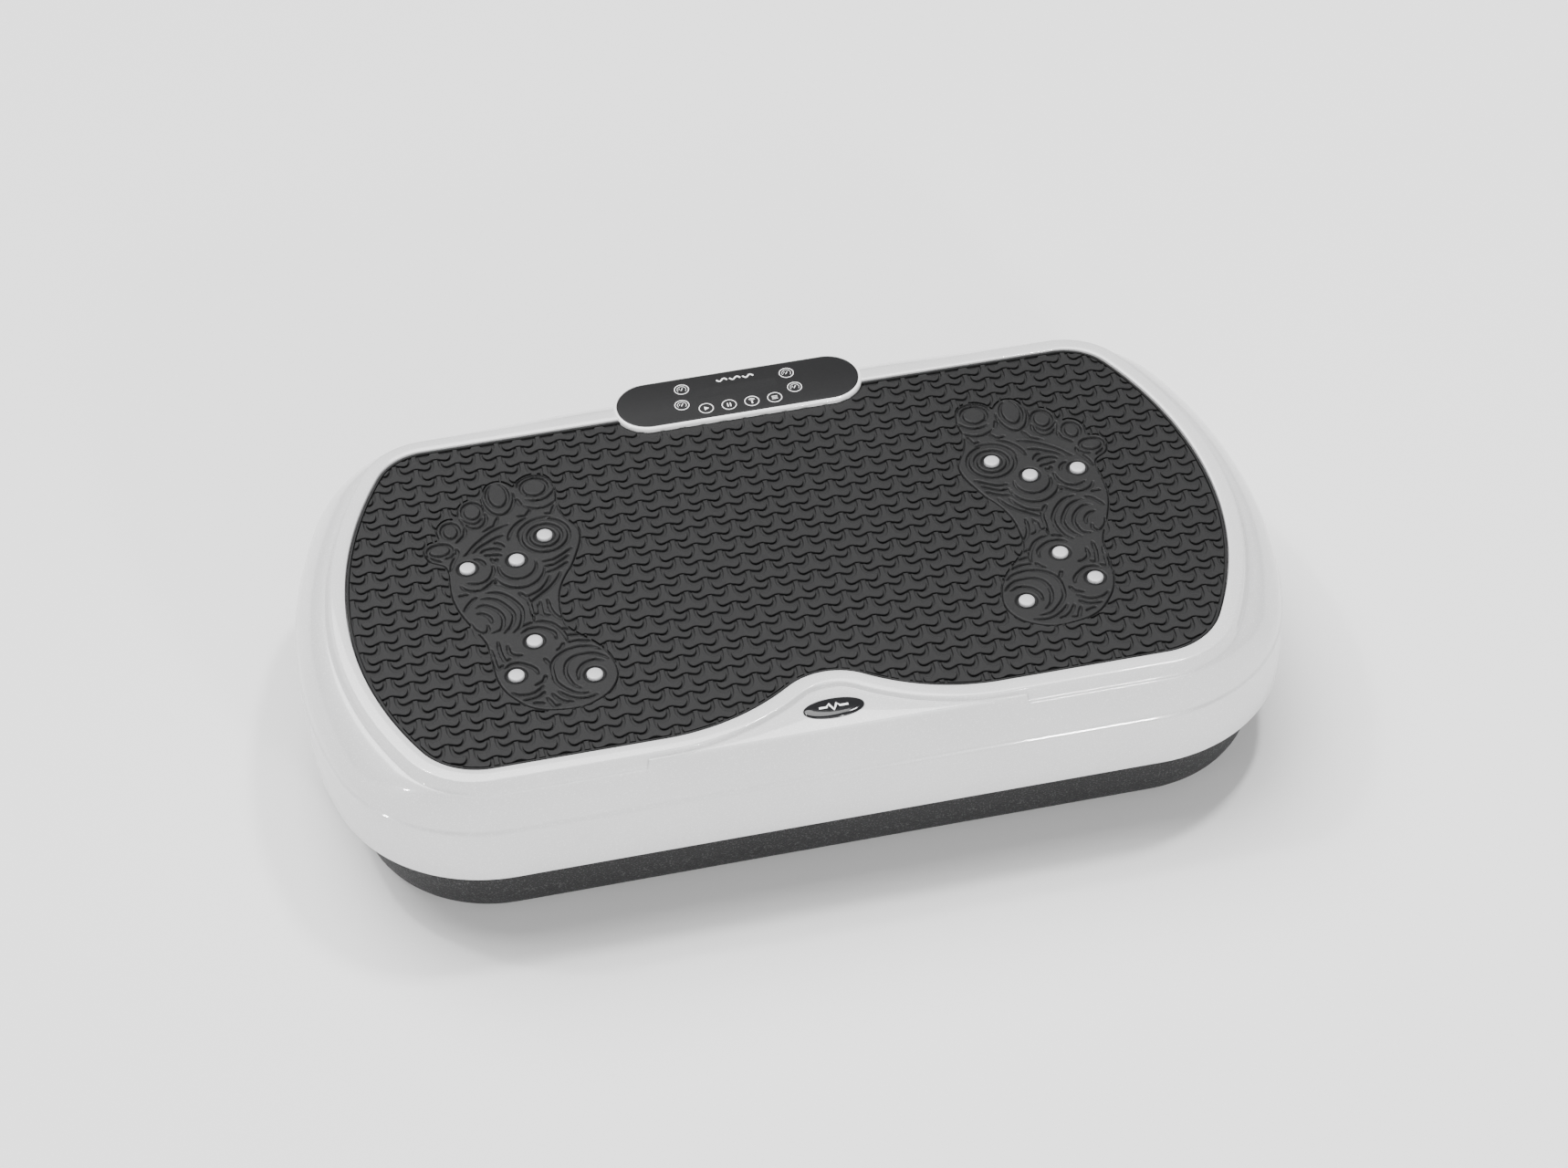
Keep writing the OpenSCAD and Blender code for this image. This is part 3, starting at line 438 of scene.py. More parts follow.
def shoulder(start, end, degrees, power=1.6):
    """A ring of the round shoulder, a superellipse from the start (0 degrees) to the end (90)."""
    f = math.sin(math.radians(degrees)) ** (2 / power)
    v = max(0, math.cos(math.radians(degrees))) ** (2 / power)
    return [(a[0] + (b[0] - a[0]) * f, a[1] + (b[1] - a[1]) * f, b[2] + (a[2] - b[2]) * v)
            for a, b in zip(start, end)]


valley = step_ring(RIM + 2.4, 0.97, RIM + 2.2, LAND_Z)
rings = [
    flat(mat_half(0), POCKET_Z), flat(mat_half(0), RIM_Z - 0.5), flat(mat_half(0.15), RIM_Z - 0.15),
    flat(mat_half(0.5), RIM_Z), flat(mat_half(3), RIM_Z + 0.05), flat(mat_half(RIM - 1.6), RIM_Z),
    flat(mat_half(RIM - 0.8), RIM_Z - 0.1), flat(mat_half(RIM - 0.25), RIM_Z - 0.4),
    step_ring(RIM, 0.03, RIM, RIM_Z - 0.9),
    step_ring(RIM + 0.5, 0.2, RIM + 0.3, LAND_Z + 0.6),
    step_ring(RIM + 1.1, 0.5, RIM + 0.6, LAND_Z - 0.25),
    step_ring(RIM + 1.6, 0.76, RIM + 1.0, LAND_Z - 0.4),
    step_ring(RIM + 2.0, 0.9, RIM + 1.5, LAND_Z - 0.1),
    valley,
    between(valley, foot, 0.5),
]
rings += [shoulder(foot, crease, t) for t in (0, 5, 11, 18, 26, 35, 45, 55, 64, 72, 79, 85, 88.5, 90)]
rings += [flat(half_points(SHELL, d), CREASE_Z + z) for d, z in
          ((-1.2, 1.71), (-0.9, 1.08), (-0.47, 0.53), (-0.14, -0.1), (0, -0.8), (0, -2))]
rings += [
    flat(half_points(SHELL), 60), flat(half_points(SHELL), LIP_Z + 0.8),
    flat(half_points(SHELL, -0.25), LIP_Z + 0.25), flat(half_points(SHELL, -0.8), LIP_Z),
    flat(half_points(SHELL, -SKIRT + 0.8), LIP_Z), flat(half_points(SHELL, -SKIRT + 0.2), LIP_Z + 0.3),
    flat(half_points(SHELL, -SKIRT), LIP_Z + 1), flat(half_points(SHELL, -SKIRT), CREASE_Z - 1),
]
inner_top = flat(half_points(MAT, FOOT_OUT - SKIRT), FOOT_Z - SKIRT)
rings += [shoulder(inner_top, rings[-1], t) for t in (70, 50, 35, 20, 8)]
rings += [flat(half_points(MAT, 5.3), CEILING_Z)]
skin = Build()
skin.loft([closed(r) for r in rings])
BOSSES = [(-178, 78), (-175, -89), (-58, -89), (58, -89), (175, -89), (178, 78)]
boss_top = CEILING_Z + 0.1
for boss in BOSSES:
    skin.lathe([(1.7, boss_top), (1.7, BOSS_Z), (5.4, BOSS_Z), (6, BOSS_Z + 0.6), (6.3, boss_top)],
               boss, 32)
pod_seat = POCKET_Z - 0.5
skin.loft([pod_ring(-1.5, 97.5), pod_ring(-1.5, pod_seat - 0.4), pod_ring(-1.1, pod_seat),
           flat(stadium(60, 12), pod_seat)])
shell = skin.object("shell_skin", looks["shell_gloss"], "platform", 38)
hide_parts("top_shell")

# ---------------------------------------------------------------- rubber mat with its relief
# the mat's own unit and where its zero lies; its ground and the top of its relief
UNIT, SOLE_Y = 4.35, 30.5
BASE_Z, TOP_Z = 110.7, 112.0
SUNK_Z = BASE_Z - 0.2
MAT_GAP = 0.6
CUT_LOW, CUT_HIGH = 100, 120


def sole(points):
    """Points of a foot outline or groove, from the mat's own units to millimetres."""
    return [(x * UNIT, y * UNIT + SOLE_Y) for x, y in points]


left_sole = sole([
    (-40.9, -4.1), (-41.05, -6.2), (-41.05, -8.3), (-40.6, -10.7), (-39.5, -13.7), (-38.1, -17),
    (-37.9, -21.1), (-37.7, -23.4), (-37.1, -25.3), (-36.2, -26.8), (-34.6, -28.6), (-32.7, -29.5),
    (-30.4, -29.9), (-28.4, -29.9), (-26.5, -29.2), (-24.9, -28.1), (-23.8, -26.4), (-23.5, -24.7),
    (-23.8, -22.8), (-24.3, -21.4), (-25.3, -19.8), (-26.9, -18), (-28.1, -16.5), (-28.5, -15),
    (-28.5, -13.2), (-28.3, -11), (-27.7, -9), (-26.8, -7.3), (-26, -6.1), (-25, -3.9), (-24.2, -1.7),
    (-24.1, 0.3), (-25.2, 2.3), (-25.9, 4.2), (-26, 6), (-25.8, 8), (-26.3, 10.3), (-27.4, 11.3),
    (-28.9, 11.4), (-30.2, 10.7), (-30.9, 9.7), (-31.4, 10.3), (-32.3, 11.0), (-33.5, 11.0),
    (-34.4, 10.3), (-34.9, 9.0), (-35.4, 8.4), (-36.2, 8.6), (-37.3, 8.3), (-38.2, 7.4), (-38.4, 6.1),
    (-38.8, 5.5), (-39.8, 5.6), (-40.8, 5.0), (-41.4, 3.8), (-41.3, 2.5), (-41.7, 2.0), (-42.6, 1.8),
    (-43.3, 0.9), (-43.3, -0.5), (-42.7, -1.6), (-41.8, -2.2), (-41.1, -2.8),
])


def spline(a, b, c, d, t):
    """The point a share t of the way from b to c on a smooth curve through all four."""
    return tuple(q + 0.5 * t * (r - p + t * (2 * p - 5 * q + 4 * r - u + t * (3 * (q - r) + u - p)))
                 for p, q, r, u in zip(a, b, c, d))


def rounded(points, steps=3):
    """A closed smooth curve through the points."""
    n, out = len(points), []
    for i in range(n):
        nearby = [points[(i + k) % n] for k in (-1, 0, 1, 2)]
        out += [spline(*nearby, k / steps) for k in range(steps)]
    return out


foot_outline = rounded(left_sole)
foot_zone = inset(foot_outline, -0.5)
zones = [foot_zone, [(-x, y) for x, y in reversed(foot_zone)]]
border = closed(mat_half(-2.6))
pod_clear = POD_R + 2.2
pod_zone = arc(POD_HALF - POD_R, POD_Y, pod_clear, math.pi / 2, -math.pi / 2, 16)
pod_zone.append((POD_HALF - POD_R, POD_Y - pod_clear))
pod_zone += [(-x, y) for x, y in reversed(pod_zone)]
zones.append(pod_zone)


def inside(p, polygon):
    """Whether the point lies in the polygon, by counting the edges to its right."""
    x, y = p
    hit = False
    j = len(polygon) - 1
    for i, (xi, yi) in enumerate(polygon):
        xj, yj = polygon[j]
        if (yi > y) != (yj > y) and x < (xj - xi) * (y - yi) / (yj - yi) + xi:
            hit = not hit
        j = i
    return hit


def extent(points):
    xs, ys = zip(*points)
    return min(xs), max(xs), min(ys), max(ys)


boxes = [extent(zone) for zone in zones]


def placement(outline):
    """Whether an outline is free: all of it, some, or none, where the border and the zones take it."""
    free = [inside(p, border) and not any(x0 < p[0] < x1 and y0 < p[1] < y1 and inside(p, zone)
            for zone, (x0, x1, y0, y1) in zip(zones, boxes)) for p in outline]
    return "all" if all(free) else "some" if any(free) else "none"


# half of one tail-shaped element: from the notch at the bottom out to the wing's tip and up the stem
wing = [(0, 0), (1.2, -0.15), (2.9, -0.85), (4.6, -1.55), (6.0, -1.75), (7.2, -1.25), (8.1, -0.2),
        (8.65, 1.2), (8.8, 2.6), (8.5, 3.4), (7.9, 3.1), (7.0, 2.3), (5.6, 2.0), (4.2, 2.4), (3.0, 3.5),
        (2.05, 5.2), (1.5, 7.0), (1.3, 9.2), (1.3, 12.5)]
element = wing + [(-x, y) for x, y in reversed(wing[1:])]
ELEMENT_BEVEL = 0.26
PITCH_X, PITCH_Y = 11.52, 13.4
EVEN_Y, ODD_Y = -61.4, -55.9
mat = Build()
edge = closed(mat_half(-MAT_GAP))
mat.loft([flat(edge, POCKET_Z), flat(edge, BASE_Z)])
mat.loft([flat(edge, SUNK_Z), flat(edge, TOP_Z - 0.3), flat(closed(mat_half(-1.0)), TOP_Z),
          flat(closed(mat_half(-1.9)), TOP_Z), flat(closed(mat_half(-2.2)), SUNK_Z)], caps=False)
cut_elements = Build()
for column in range(-20, 21):
    for row in range(-8, 16):
        x = column * PITCH_X
        y = (ODD_Y if column % 2 else EVEN_Y) + row * PITCH_Y
        if abs(x) > 240 or not -150 < y < 120:
            continue
        outline = [(x + px, y + py) for px, py in element]
        free = placement(outline)
        if free != "none":
            (mat if free == "all" else cut_elements).slab(outline, SUNK_Z, TOP_Z, ELEMENT_BEVEL)


def arc_line(cx, cy, rx, a0, a1, ry=None):
    """An arc from angle a0 to a1 in degrees, both ends included, round or oval."""
    n = max(6, int(abs(a1 - a0) * rx / 18) + 4)
    angles = [math.radians(a0 + (a1 - a0) * i / n) for i in range(n + 1)]
    return [(cx + rx * math.cos(a), cy + (ry or rx) * math.sin(a)) for a in angles]


def curve_line(points, steps=6):
    """A smooth open line through the points."""
    ends = [points[0], *points, points[-1]]
    out = [spline(*ends[i - 1:i + 3], k / steps) for i in range(1, len(ends) - 2) for k in range(steps)]
    return out + [points[-1]]


# round grooves of the left foot: centre, radius, from, to (degrees), and the other radius of ovals
ARCS = [
    (-28.34, 9.0, 1.6, -130, 215), (-28.3, 8.9, 2.2, 28, 165), (-28.2, 8.9, 2.45, -125, -20),
    (-28.1, 7.6, 2.6, -138, -38), (-33.05, 8.5, 1.3, 110, 430, 2.2), (-33.05, 8.3, 2.0, 175, 365, 3.4),
    (-36.55, 6.4, 1.2, 0, 360, 1.5), (-39.65, 3.45, 1.05, 0, 360, 1.4), (-41.4, 0.3, 1.45, 0, 360, 1.05),
    (-28.37, 0, 2.05, 0, 360), (-28.37, 0, 3.0, 0, 360), (-28.1, -0.3, 3.6, 75, 168),
    (-28.4, -0.5, 4.5, 112, 171), (-32.45, -4.6, 2.3, -190, 10), (-32.4, -5.4, 3.1, -165, -5),
]
# its other grooves, each a smooth line through a few points
LINES = [
    [(-30.8, 7.3), (-30.4, 6.1)], [(-25.9, 5.9), (-26.5, 4.8), (-27, 3.8), (-27.7, 4.0)],
    [(-29.4, 5.1), (-29.9, 4.3), (-30.4, 4.1), (-31.1, 4.2)],
    [(-38, 5.2), (-37.5, 4.5), (-36.65, 4.1), (-35.9, 4.3), (-35.5, 4.9)],
    [(-38.2, 5.4), (-37.5, 3.7), (-36.35, 3.2), (-35.5, 3.6), (-35, 4.5), (-35, 5.6)],
    [(-37.8, 3.6), (-38, 2.4), (-38.6, 1.7), (-39.15, 1.2)], [(-40.8, -1.3), (-40, -1.1), (-39.6, -0.6)],
    [(-39.4, 0.1), (-39.3, -0.5), (-39.6, -1.3), (-40.1, -2.2), (-40.6, -3.6)],
    [(-43.0, -0.3), (-42.5, -1.1), (-41.5, -1.7)],
    [(-35.7, 2.4), (-34.6, 3), (-34.2, 3.2), (-33.85, 3.9), (-33.5, 4.6)],
    [(-32.5, 3), (-33.7, 2.6), (-34.9, 2), (-36.1, 1.1), (-37.2, 0.1), (-38.1, -1), (-38.6, -1.3)],
    [(-33.4, 1.2), (-34.4, 0.9), (-35.3, 0.4), (-36.35, -0.2), (-37.4, -1.1)],
    [(-34.6, 0.1), (-34, -0.3), (-33.6, -0.9)],
    [(-36.5, -1.3), (-35.8, -0.9), (-34.9, -0.9), (-34, -1.3)],
    [(-36.1, -1.8), (-35.5, -2), (-34.7, -2.1), (-34.1, -2.3)],
    [(-35.4, -2.6), (-35, -3.3), (-34.7, -2.8)],
    [(-29.3, -4.5), (-28.1, -4.5), (-26.8, -3.9), (-25.5, -3)],
    [(-29.2, -5.4), (-28.1, -5.4), (-26.9, -4.8), (-26.1, -4.2)],
    [(-29.15, -6.5), (-28.1, -6.3), (-27.1, -5.8), (-26.4, -5.3)],
    [(-33, -9.35), (-32.4, -10.1), (-31.35, -9.9), (-30.3, -9.35), (-29.4, -8.3), (-28.85, -7.15)],
    [(-32.1, -11.4), (-30.8, -10.5), (-29.3, -9.35), (-28.1, -8), (-27.5, -6.85)],
    [(-37.4, -2.2), (-36.65, -2.7), (-36.3, -3.5)],
    [(-35.4, -3.9), (-35.5, -4.9), (-36.1, -6), (-36.9, -6.5), (-37.8, -6.6), (-38.8, -6.2)],
    [(-39.7, -6.6), (-39.15, -7.4), (-38.1, -7.8), (-37.2, -7.7), (-36.35, -7.15), (-35.6, -6.4)],
    [(-35.5, -6.9), (-35.1, -7.4)], [(-40.1, -8.2), (-39.15, -8.2)],
    [(-39.9, -10.9), (-39.3, -10), (-38.7, -9.3), (-38.1, -8.9)],
    [(-38.45, -11.7), (-37.75, -11.9), (-37.1, -12.6), (-36.9, -13.6)],
    [(-38.4, -10.7), (-37.6, -10.4), (-36.7, -10.9), (-35.9, -11.8), (-35.5, -12.9), (-35.6, -14),
     (-36, -15), (-37.1, -15.4)],
    [(-37.6, -9.3), (-36.8, -9.4), (-35.7, -10), (-34.8, -11.2), (-34.2, -12.5), (-34.3, -13.7),
     (-34.8, -14.8), (-35.7, -15.75)],
    [(-36.8, -8.4), (-35.7, -8.6), (-34.6, -9.4), (-33.7, -10.6), (-33.1, -12), (-33.2, -13.6),
     (-33.7, -15), (-34.6, -15.9)],
    [(-39.4, -13.25), (-39.2, -14.2), (-38.5, -15), (-37.9, -15.1), (-37.5, -14.7), (-37.5, -13.9)],
    [(-32.9, -9.3), (-32.4, -10.1), (-32, -11.1), (-31.9, -14.5)],
    [(-31.8, -13.3), (-31.1, -13.3), (-31, -11.8)],
    [(-30.7, -11.4), (-30.8, -12.9), (-30.6, -13.7), (-29.9, -13.95)],
    [(-29.8, -11.2), (-29.7, -12.8), (-29.3, -14), (-28.5, -15.1)], [(-33.4, -15.1), (-32.3, -14.7)],
    [(-31.8, -14.7), (-30.9, -14.8), (-29.9, -15.4), (-29.2, -16.4), (-28.7, -17.6), (-28.6, -18.7)],
    [(-33.7, -16.2), (-32.75, -15.7), (-31.7, -15.7), (-30.7, -16.2), (-29.9, -17), (-29.8, -18.1)],
    [(-29.1, -19), (-29.5, -19.7), (-30, -20)], [(-28.8, -16.6), (-28.1, -16.8)],
    [(-28.5, -17.8), (-26.8, -18.1)], [(-28.45, -19), (-27.3, -19), (-26, -19.4)],
    [(-35.7, -17.9), (-35.6, -19.2), (-34.9, -19.8), (-34.2, -19.9)],
    [(-36.7, -17), (-36.7, -18.6), (-36.3, -20.4), (-35.7, -20.1)],
    [(-37.7, -18.2), (-37.4, -21.4), (-36.7, -21)],
    [(-36.5, -21.6), (-35.7, -21.1), (-34.8, -21.1), (-33.7, -21.8), (-33, -22.6), (-32.8, -23.4)],
    [(-32, -23.9), (-32.4, -24.7), (-33.4, -25.2)],
    [(-36.3, -25.75), (-35.7, -26.3), (-34.6, -26.5), (-33.5, -26.3), (-32.5, -25.5)],
    [(-35.1, -27.3), (-34, -27.3), (-33.1, -27), (-32.5, -26.45)], [(-34, -28), (-32.9, -28.3)],
    [(-28.3, -25.4), (-28.2, -24.3), (-27.75, -23.4), (-27, -22.8), (-26, -22.6), (-24.9, -23)],
    [(-28.2, -26.9), (-29, -26.1), (-29.5, -24.8), (-29.6, -23.6), (-29.2, -22.3), (-28.2, -21.5),
     (-27.1, -21.4), (-25.9, -21.5), (-24.8, -22.2), (-24.3, -22.8)],
    [(-27.4, -27.8), (-28.7, -27.6), (-29.9, -26.7), (-30.9, -25.3), (-31.1, -23.9), (-31, -22.3),
     (-30.25, -21.1), (-29, -20.3), (-27.6, -20.05), (-26, -20.3), (-24.9, -21.1)],
    [(-31.7, -21.1), (-31.3, -22)],
    [(-30.9, -26.8), (-30.25, -27.6), (-29, -28.4), (-27.75, -28.6), (-26.5, -28.3)],
    [(-31.7, -27), (-31.2, -27.9), (-30.4, -28.6), (-29.5, -28.8)],
    [(-32.4, -27.5), (-32, -28.4), (-31.7, -29), (-31, -28.9)],
]
GROOVE_W, GROOVE_DEPTH = 1.7, 1.5
STEP = 0.45
GRID_X, GRID_Y = -190, -101
X, Y = np.meshgrid(np.arange(GRID_X, -101, STEP), np.arange(GRID_Y, 82, STEP), indexing="ij")


def segment_distance(x, y, a, b):
    """How far each grid point is from the line between a and b."""
    dx, dy = b[0] - a[0], b[1] - a[1]
    t = np.clip(((x - a[0]) * dx + (y - a[1]) * dy) / (dx * dx + dy * dy + 1e-9), 0, 1)
    return np.hypot(x - a[0] - dx * t, y - a[1] - dy * t)


def soft(a, b, v):
    """smoothstep for a whole grid."""
    t = np.clip((v - a) / (b - a), 0, 1)
    return t * t * (3 - 2 * t)


edge_distance = np.full(X.shape, 99.0)
within = np.zeros(X.shape, bool)
for a, b in zip(foot_outline, foot_outline[1:] + foot_outline[:1]):
    edge_distance = np.minimum(edge_distance, segment_distance(X, Y, a, b))
    crosses = ((a[1] > Y) != (b[1] > Y)) & (X < (b[0] - a[0]) * (Y - a[1]) / (b[1] - a[1] + 1e-9) + a[0])
    within ^= crosses
inward = np.where(within, edge_distance, -edge_distance)
height = BASE_Z - 0.3 + (TOP_Z + 0.3 - BASE_Z) * soft(-0.1, 0.6, inward)
waves = 0.05 * np.sin(X * 0.16 + 1.3 * np.sin(Y * 0.11)) + 0.04 * np.sin(Y * 0.19 + X * 0.07)
height += np.where(within, waves, 0)


def carve(line, fade=True):
    """Cuts a rounded groove along a line given in mat units, shallower towards its ends if it fades."""
    points = sole(line)
    n = len(points) - 1
    m = GROOVE_W + 0.6
    for i in range(n):
        a, b = points[i], points[i + 1]
        i0, i1 = (int((v - GRID_X) / STEP) for v in (min(a[0], b[0]) - m, max(a[0], b[0]) + m))
        j0, j1 = (int((v - GRID_Y) / STEP) for v in (min(a[1], b[1]) - m, max(a[1], b[1]) + m))
        part = np.s_[max(i0, 0):i1 + 2, max(j0, 0):j1 + 2]
        end = min(1, 0.45 + 3 * min(i + 0.5, n - i - 0.5) / n) if fade else 1
        half = GROOVE_W * end / 2
        away = segment_distance(X[part], Y[part], a, b)
        cut = TOP_Z - GROOVE_DEPTH * end * (1 - soft(half - 0.3, half + 0.25, away))
        height[part] = np.minimum(height[part], np.where(cut < TOP_Z - 0.02, cut, np.inf))


for cx, cy, r, a0, a1, *tall in ARCS:
    carve(arc_line(cx, cy, r, a0, a1, *tall), fade=a1 - a0 < 340)
for points in LINES:
    carve(curve_line(points))
# one foot's studs, mirrored for the other
STUDS = [(123.5, 30.5), (141, 15), (167.5, 14.5), (141, -47.5), (154, -70), (114.5, -78.5)]
for x, y in STUDS:
    away = np.hypot(X + x, Y - y)
    height = np.where(away < 6.3, np.minimum(height, BASE_Z + 0.1 + 1.2 * soft(5.1, 6.3, away)), height)
kept = height > BASE_Z - 0.25
index = np.full(X.shape, -1)
quads = kept[:-1, :-1] | kept[1:, :-1] | kept[:-1, 1:] | kept[1:, 1:]
used = np.zeros(X.shape, bool)
for di in (0, 1):
    for dj in (0, 1):
        used[di:X.shape[0] - 1 + di, dj:X.shape[1] - 1 + dj] |= quads
index[used] = np.arange(used.sum())
corners = np.stack([index[:-1, :-1], index[1:, :-1], index[1:, 1:], index[:-1, 1:]], -1)[quads]
for side, name in ((1, "foot_left"), (-1, "foot_right")):
    foot_points = list(zip((side * X[used]).tolist(), Y[used].tolist(), height[used].tolist()))
    foot_faces = [tuple(f[::side]) for f in corners.tolist()]
    foot_piece = add_mesh(name, foot_points, foot_faces, looks["mat_rubber"], "platform", 60,
                          fix_normals=False)
edge_pieces = cut_elements.object("mat_edge_elements", looks["mat_rubber"], None, 42)
cuts = [(prism(border, CUT_LOW, CUT_HIGH, "border_cut"), "INTERSECT")]
cuts += [(prism(zone, CUT_LOW, CUT_HIGH, f"zone_cut{i}"), "DIFFERENCE") for i, zone in enumerate(zones)]
apply_booleans(edge_pieces, cuts, 18)
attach(edge_pieces, "platform")
rubber = mat.object("mat_relief", looks["mat_rubber"], "platform", 18)
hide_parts("rubber_mat")

STUD_PROFILE = [(0.1, POCKET_Z + 0.1), (4.1, POCKET_Z + 0.1), (4.2, 112.1), (4.05, 112.5), (3.7, 112.72),
                (2.6, 112.83), (1.2, 112.88), (0.02, 112.9)]
studs = Build()
for side in (1, -1):
    for x, y in STUDS:
        studs.lathe(STUD_PROFILE, (side * x, y), 40)
caps = studs.object("stud_caps", looks["stud_steel"], "platform", 40)
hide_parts("magnet_studs")


# ---------------------------------------------------------------- control panel
bezel = Build()
bezel.loft([pod_ring(d, z) for d, z in (
    (0, pod_seat - 0.4), (0, 112.1), (0.12, 112.65), (0.45, 113.1), (0.95, 113.4),
    (1.5, 113.48), (1.72, 113.4), (1.8, 113.0), (1.8, 111))])
trim = bezel.object("panel_bezel", looks["bezel_gloss"], "platform", 45)
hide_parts("panel_housing")
INK, INK_THICK = 113.4, 0.05
film = Build()
film.loft([pod_ring(d, z) for d, z in ((2, 112), (2, 113.15), (2.25, 113.32), (2.8, INK))])
film_piece = film.object("panel_film", looks["overlay_film"], "platform", 30)
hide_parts("panel_overlay")
window = Build()
pane = [(22, 118.2), (22.6, 118.9), (22.6, 124.9), (22, 125.6)]
pane += [(-x, y) for x, y in reversed(pane)]
window.loft([flat(pane, INK - 0.1), flat(pane, INK + 0.02)])
pane_piece = window.object("display_pane", looks["overlay_film"], "platform", 30)
ink = Build()


def stroke(points, width, closed_line=False, z=INK, top=INK_THICK, target=ink):
    """A printed line of even width, a little proud of the surface at height z."""
    n = len(points)
    near, far = [], []
    for i, (x, y) in enumerate(points):
        ax, ay = points[i - 1] if closed_line or i else points[0]
        bx, by = points[(i + 1) % n] if closed_line or i < n - 1 else points[-1]
        length = math.hypot(bx - ax, by - ay) or 1
        nx, ny = -(by - ay) / length * width / 2, (bx - ax) / length * width / 2
        near.append((x + nx, y + ny))
        far.append((x - nx, y - ny))
    low, high = z - 0.1, z + top
    ids = [target.ring(r) for r in (flat(near, low), flat(near, high), flat(far, high), flat(far, low))]
    for a, b in zip(ids, ids[1:] + ids[:1]):
        target.band(a, b, closed=closed_line)
    if not closed_line:
        target.faces += [tuple(r[0] for r in ids), tuple(r[-1] for r in reversed(ids))]


def plate(points):
    """A printed patch on the film."""
    ink.loft([flat(points, INK - 0.1), flat(points, INK + INK_THICK)])


def ellipse(cx, cy, rx, ry, n):
    angles = [2 * math.pi * k / n for k in range(n)]
    return [(cx + rx * math.cos(a), cy + ry * math.sin(a)) for a in angles]


KEY_R = 3.95
KEYS = [(-30.4, 127.8, "dial"), (-32.6, 114.8, "dial"), (-19.9, 109, "play"), (-6.9, 109, "pause"),
        (6.0, 109, "touch"), (19.0, 109, "list"), (31.6, 115, "dial"), (29.5, 127.8, "dial")]
for x, y, kind in KEYS:
    stroke(ellipse(x, y, KEY_R, KEY_R, 40), 0.46, True)
    if kind == "dial":
        stroke(arc(x, y, 2.5, math.radians(-40), math.radians(220), 24), 0.26)
        stroke([(x - 0.5, y - 0.9), (x + 0.7, y + 1.1)], 0.45)
        stroke([(x - 1.5, y - 0.2), (x - 1.0, y + 1.1)], 0.25)
    elif kind == "play":
        plate([(x - 1.0, y - 1.5), (x + 1.6, y), (x - 1.0, y + 1.5)])
    elif kind == "pause":
        for s in (-0.8, 0.8):
            plate(rectangle(x + s - 0.33, y - 1.5, x + s + 0.33, y + 1.5))
    elif kind == "touch":
        stroke(arc(x, y + 0.4, 1.9, math.radians(20), math.radians(160), 12), 0.35)
        stroke(arc(x, y + 0.4, 1.1, math.radians(10), math.radians(170), 10), 0.35)
        stroke([(x, y + 0.6), (x, y - 2.0)], 0.8)
    else:
        for s in (-1.1, 0, 1.1):
            stroke([(x - 1.6, y + s), (x + 1.6, y + s)], 0.42)
# three short waves above the keys
for s in (-1, 0, 1):
    stroke([(k * 0.75 + s * 7.5 + 0.5, 130.6 + 1.1 * math.sin(k * 0.9)) for k in range(-4, 5)], 0.95)
icons = ink.object("panel_print", print_white, "platform", 20)

# ---------------------------------------------------------------- badge
BADGE_Y, BADGE_RX, BADGE_RY = LAND_Y + 13, 15.9, 6.7
# rings of the dome: shares of the two radii, and the height
DOME = [(1, 1, 110.2), (1, 1, 110.9), (0.985, 0.965, 111.2), (0.95, 0.89, 111.5), (0.87, 0.76, 111.75),
        (0.7, 0.55, 111.86), (0.4, 0.3, 111.9), (0.02, 0.02, 111.9)]
PULSE = [(-7.6, 0), (-3.6, 0), (-2.4, 2.1), (-0.2, -2.3), (1.8, 1.9), (3.2, 0), (7.6, 0)]
badge = Build()
badge.loft([flat(ellipse(0, BADGE_Y, BADGE_RX * s, BADGE_RY * t, 56), z) for s, t, z in DOME])
emblem = badge.object("badge_dome", looks["badge_black"], "platform", 50)
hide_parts("front_badge")
mark = Build()
stroke([(x, BADGE_Y + y) for x, y in PULSE], 1.35, z=111.95, top=0.04, target=mark)
mark_piece = mark.object("badge_mark", print_white, "platform", 20)

# ---------------------------------------------------------------- base tray
# section of the tray, from the inner floor over the rim and down the outside, in pairs: how much the
# shell's plan grows, and the height
TRAY_SECTION = [
    (-22, 10), (-19, 10.3), (-17.2, 11.6), (-16.5, 13.5), (-14.6, 61.4), (-14.3, 62), (-12.4, 62),
    (-12, 61.5), (-12.1, 46), (-12.6, 24), (-13.2, 17), (-14.5, 12), (-15.6, 9.6), (-17.2, 7.6),
    (-18.8, 6.5), (-21, 6)]
tray = Build()
tray.loft([closed(flat(half_points(SHELL, d), z)) for d, z in TRAY_SECTION])
base = tray.object("tray_skin", looks["tray_plastic"], None, 40)


def cutter(lo, hi, radius, name):
    """A box between two corners, with its edges rounded if it has a radius."""
    box = prism(rectangle(lo[0], lo[1], hi[0], hi[1]), lo[2], hi[2], name, looks["tray_plastic"])
    if radius:
        bevel = box.modifiers.new("round", "BEVEL")
        bevel.width = radius * MM
        bevel.segments = 4
    return box


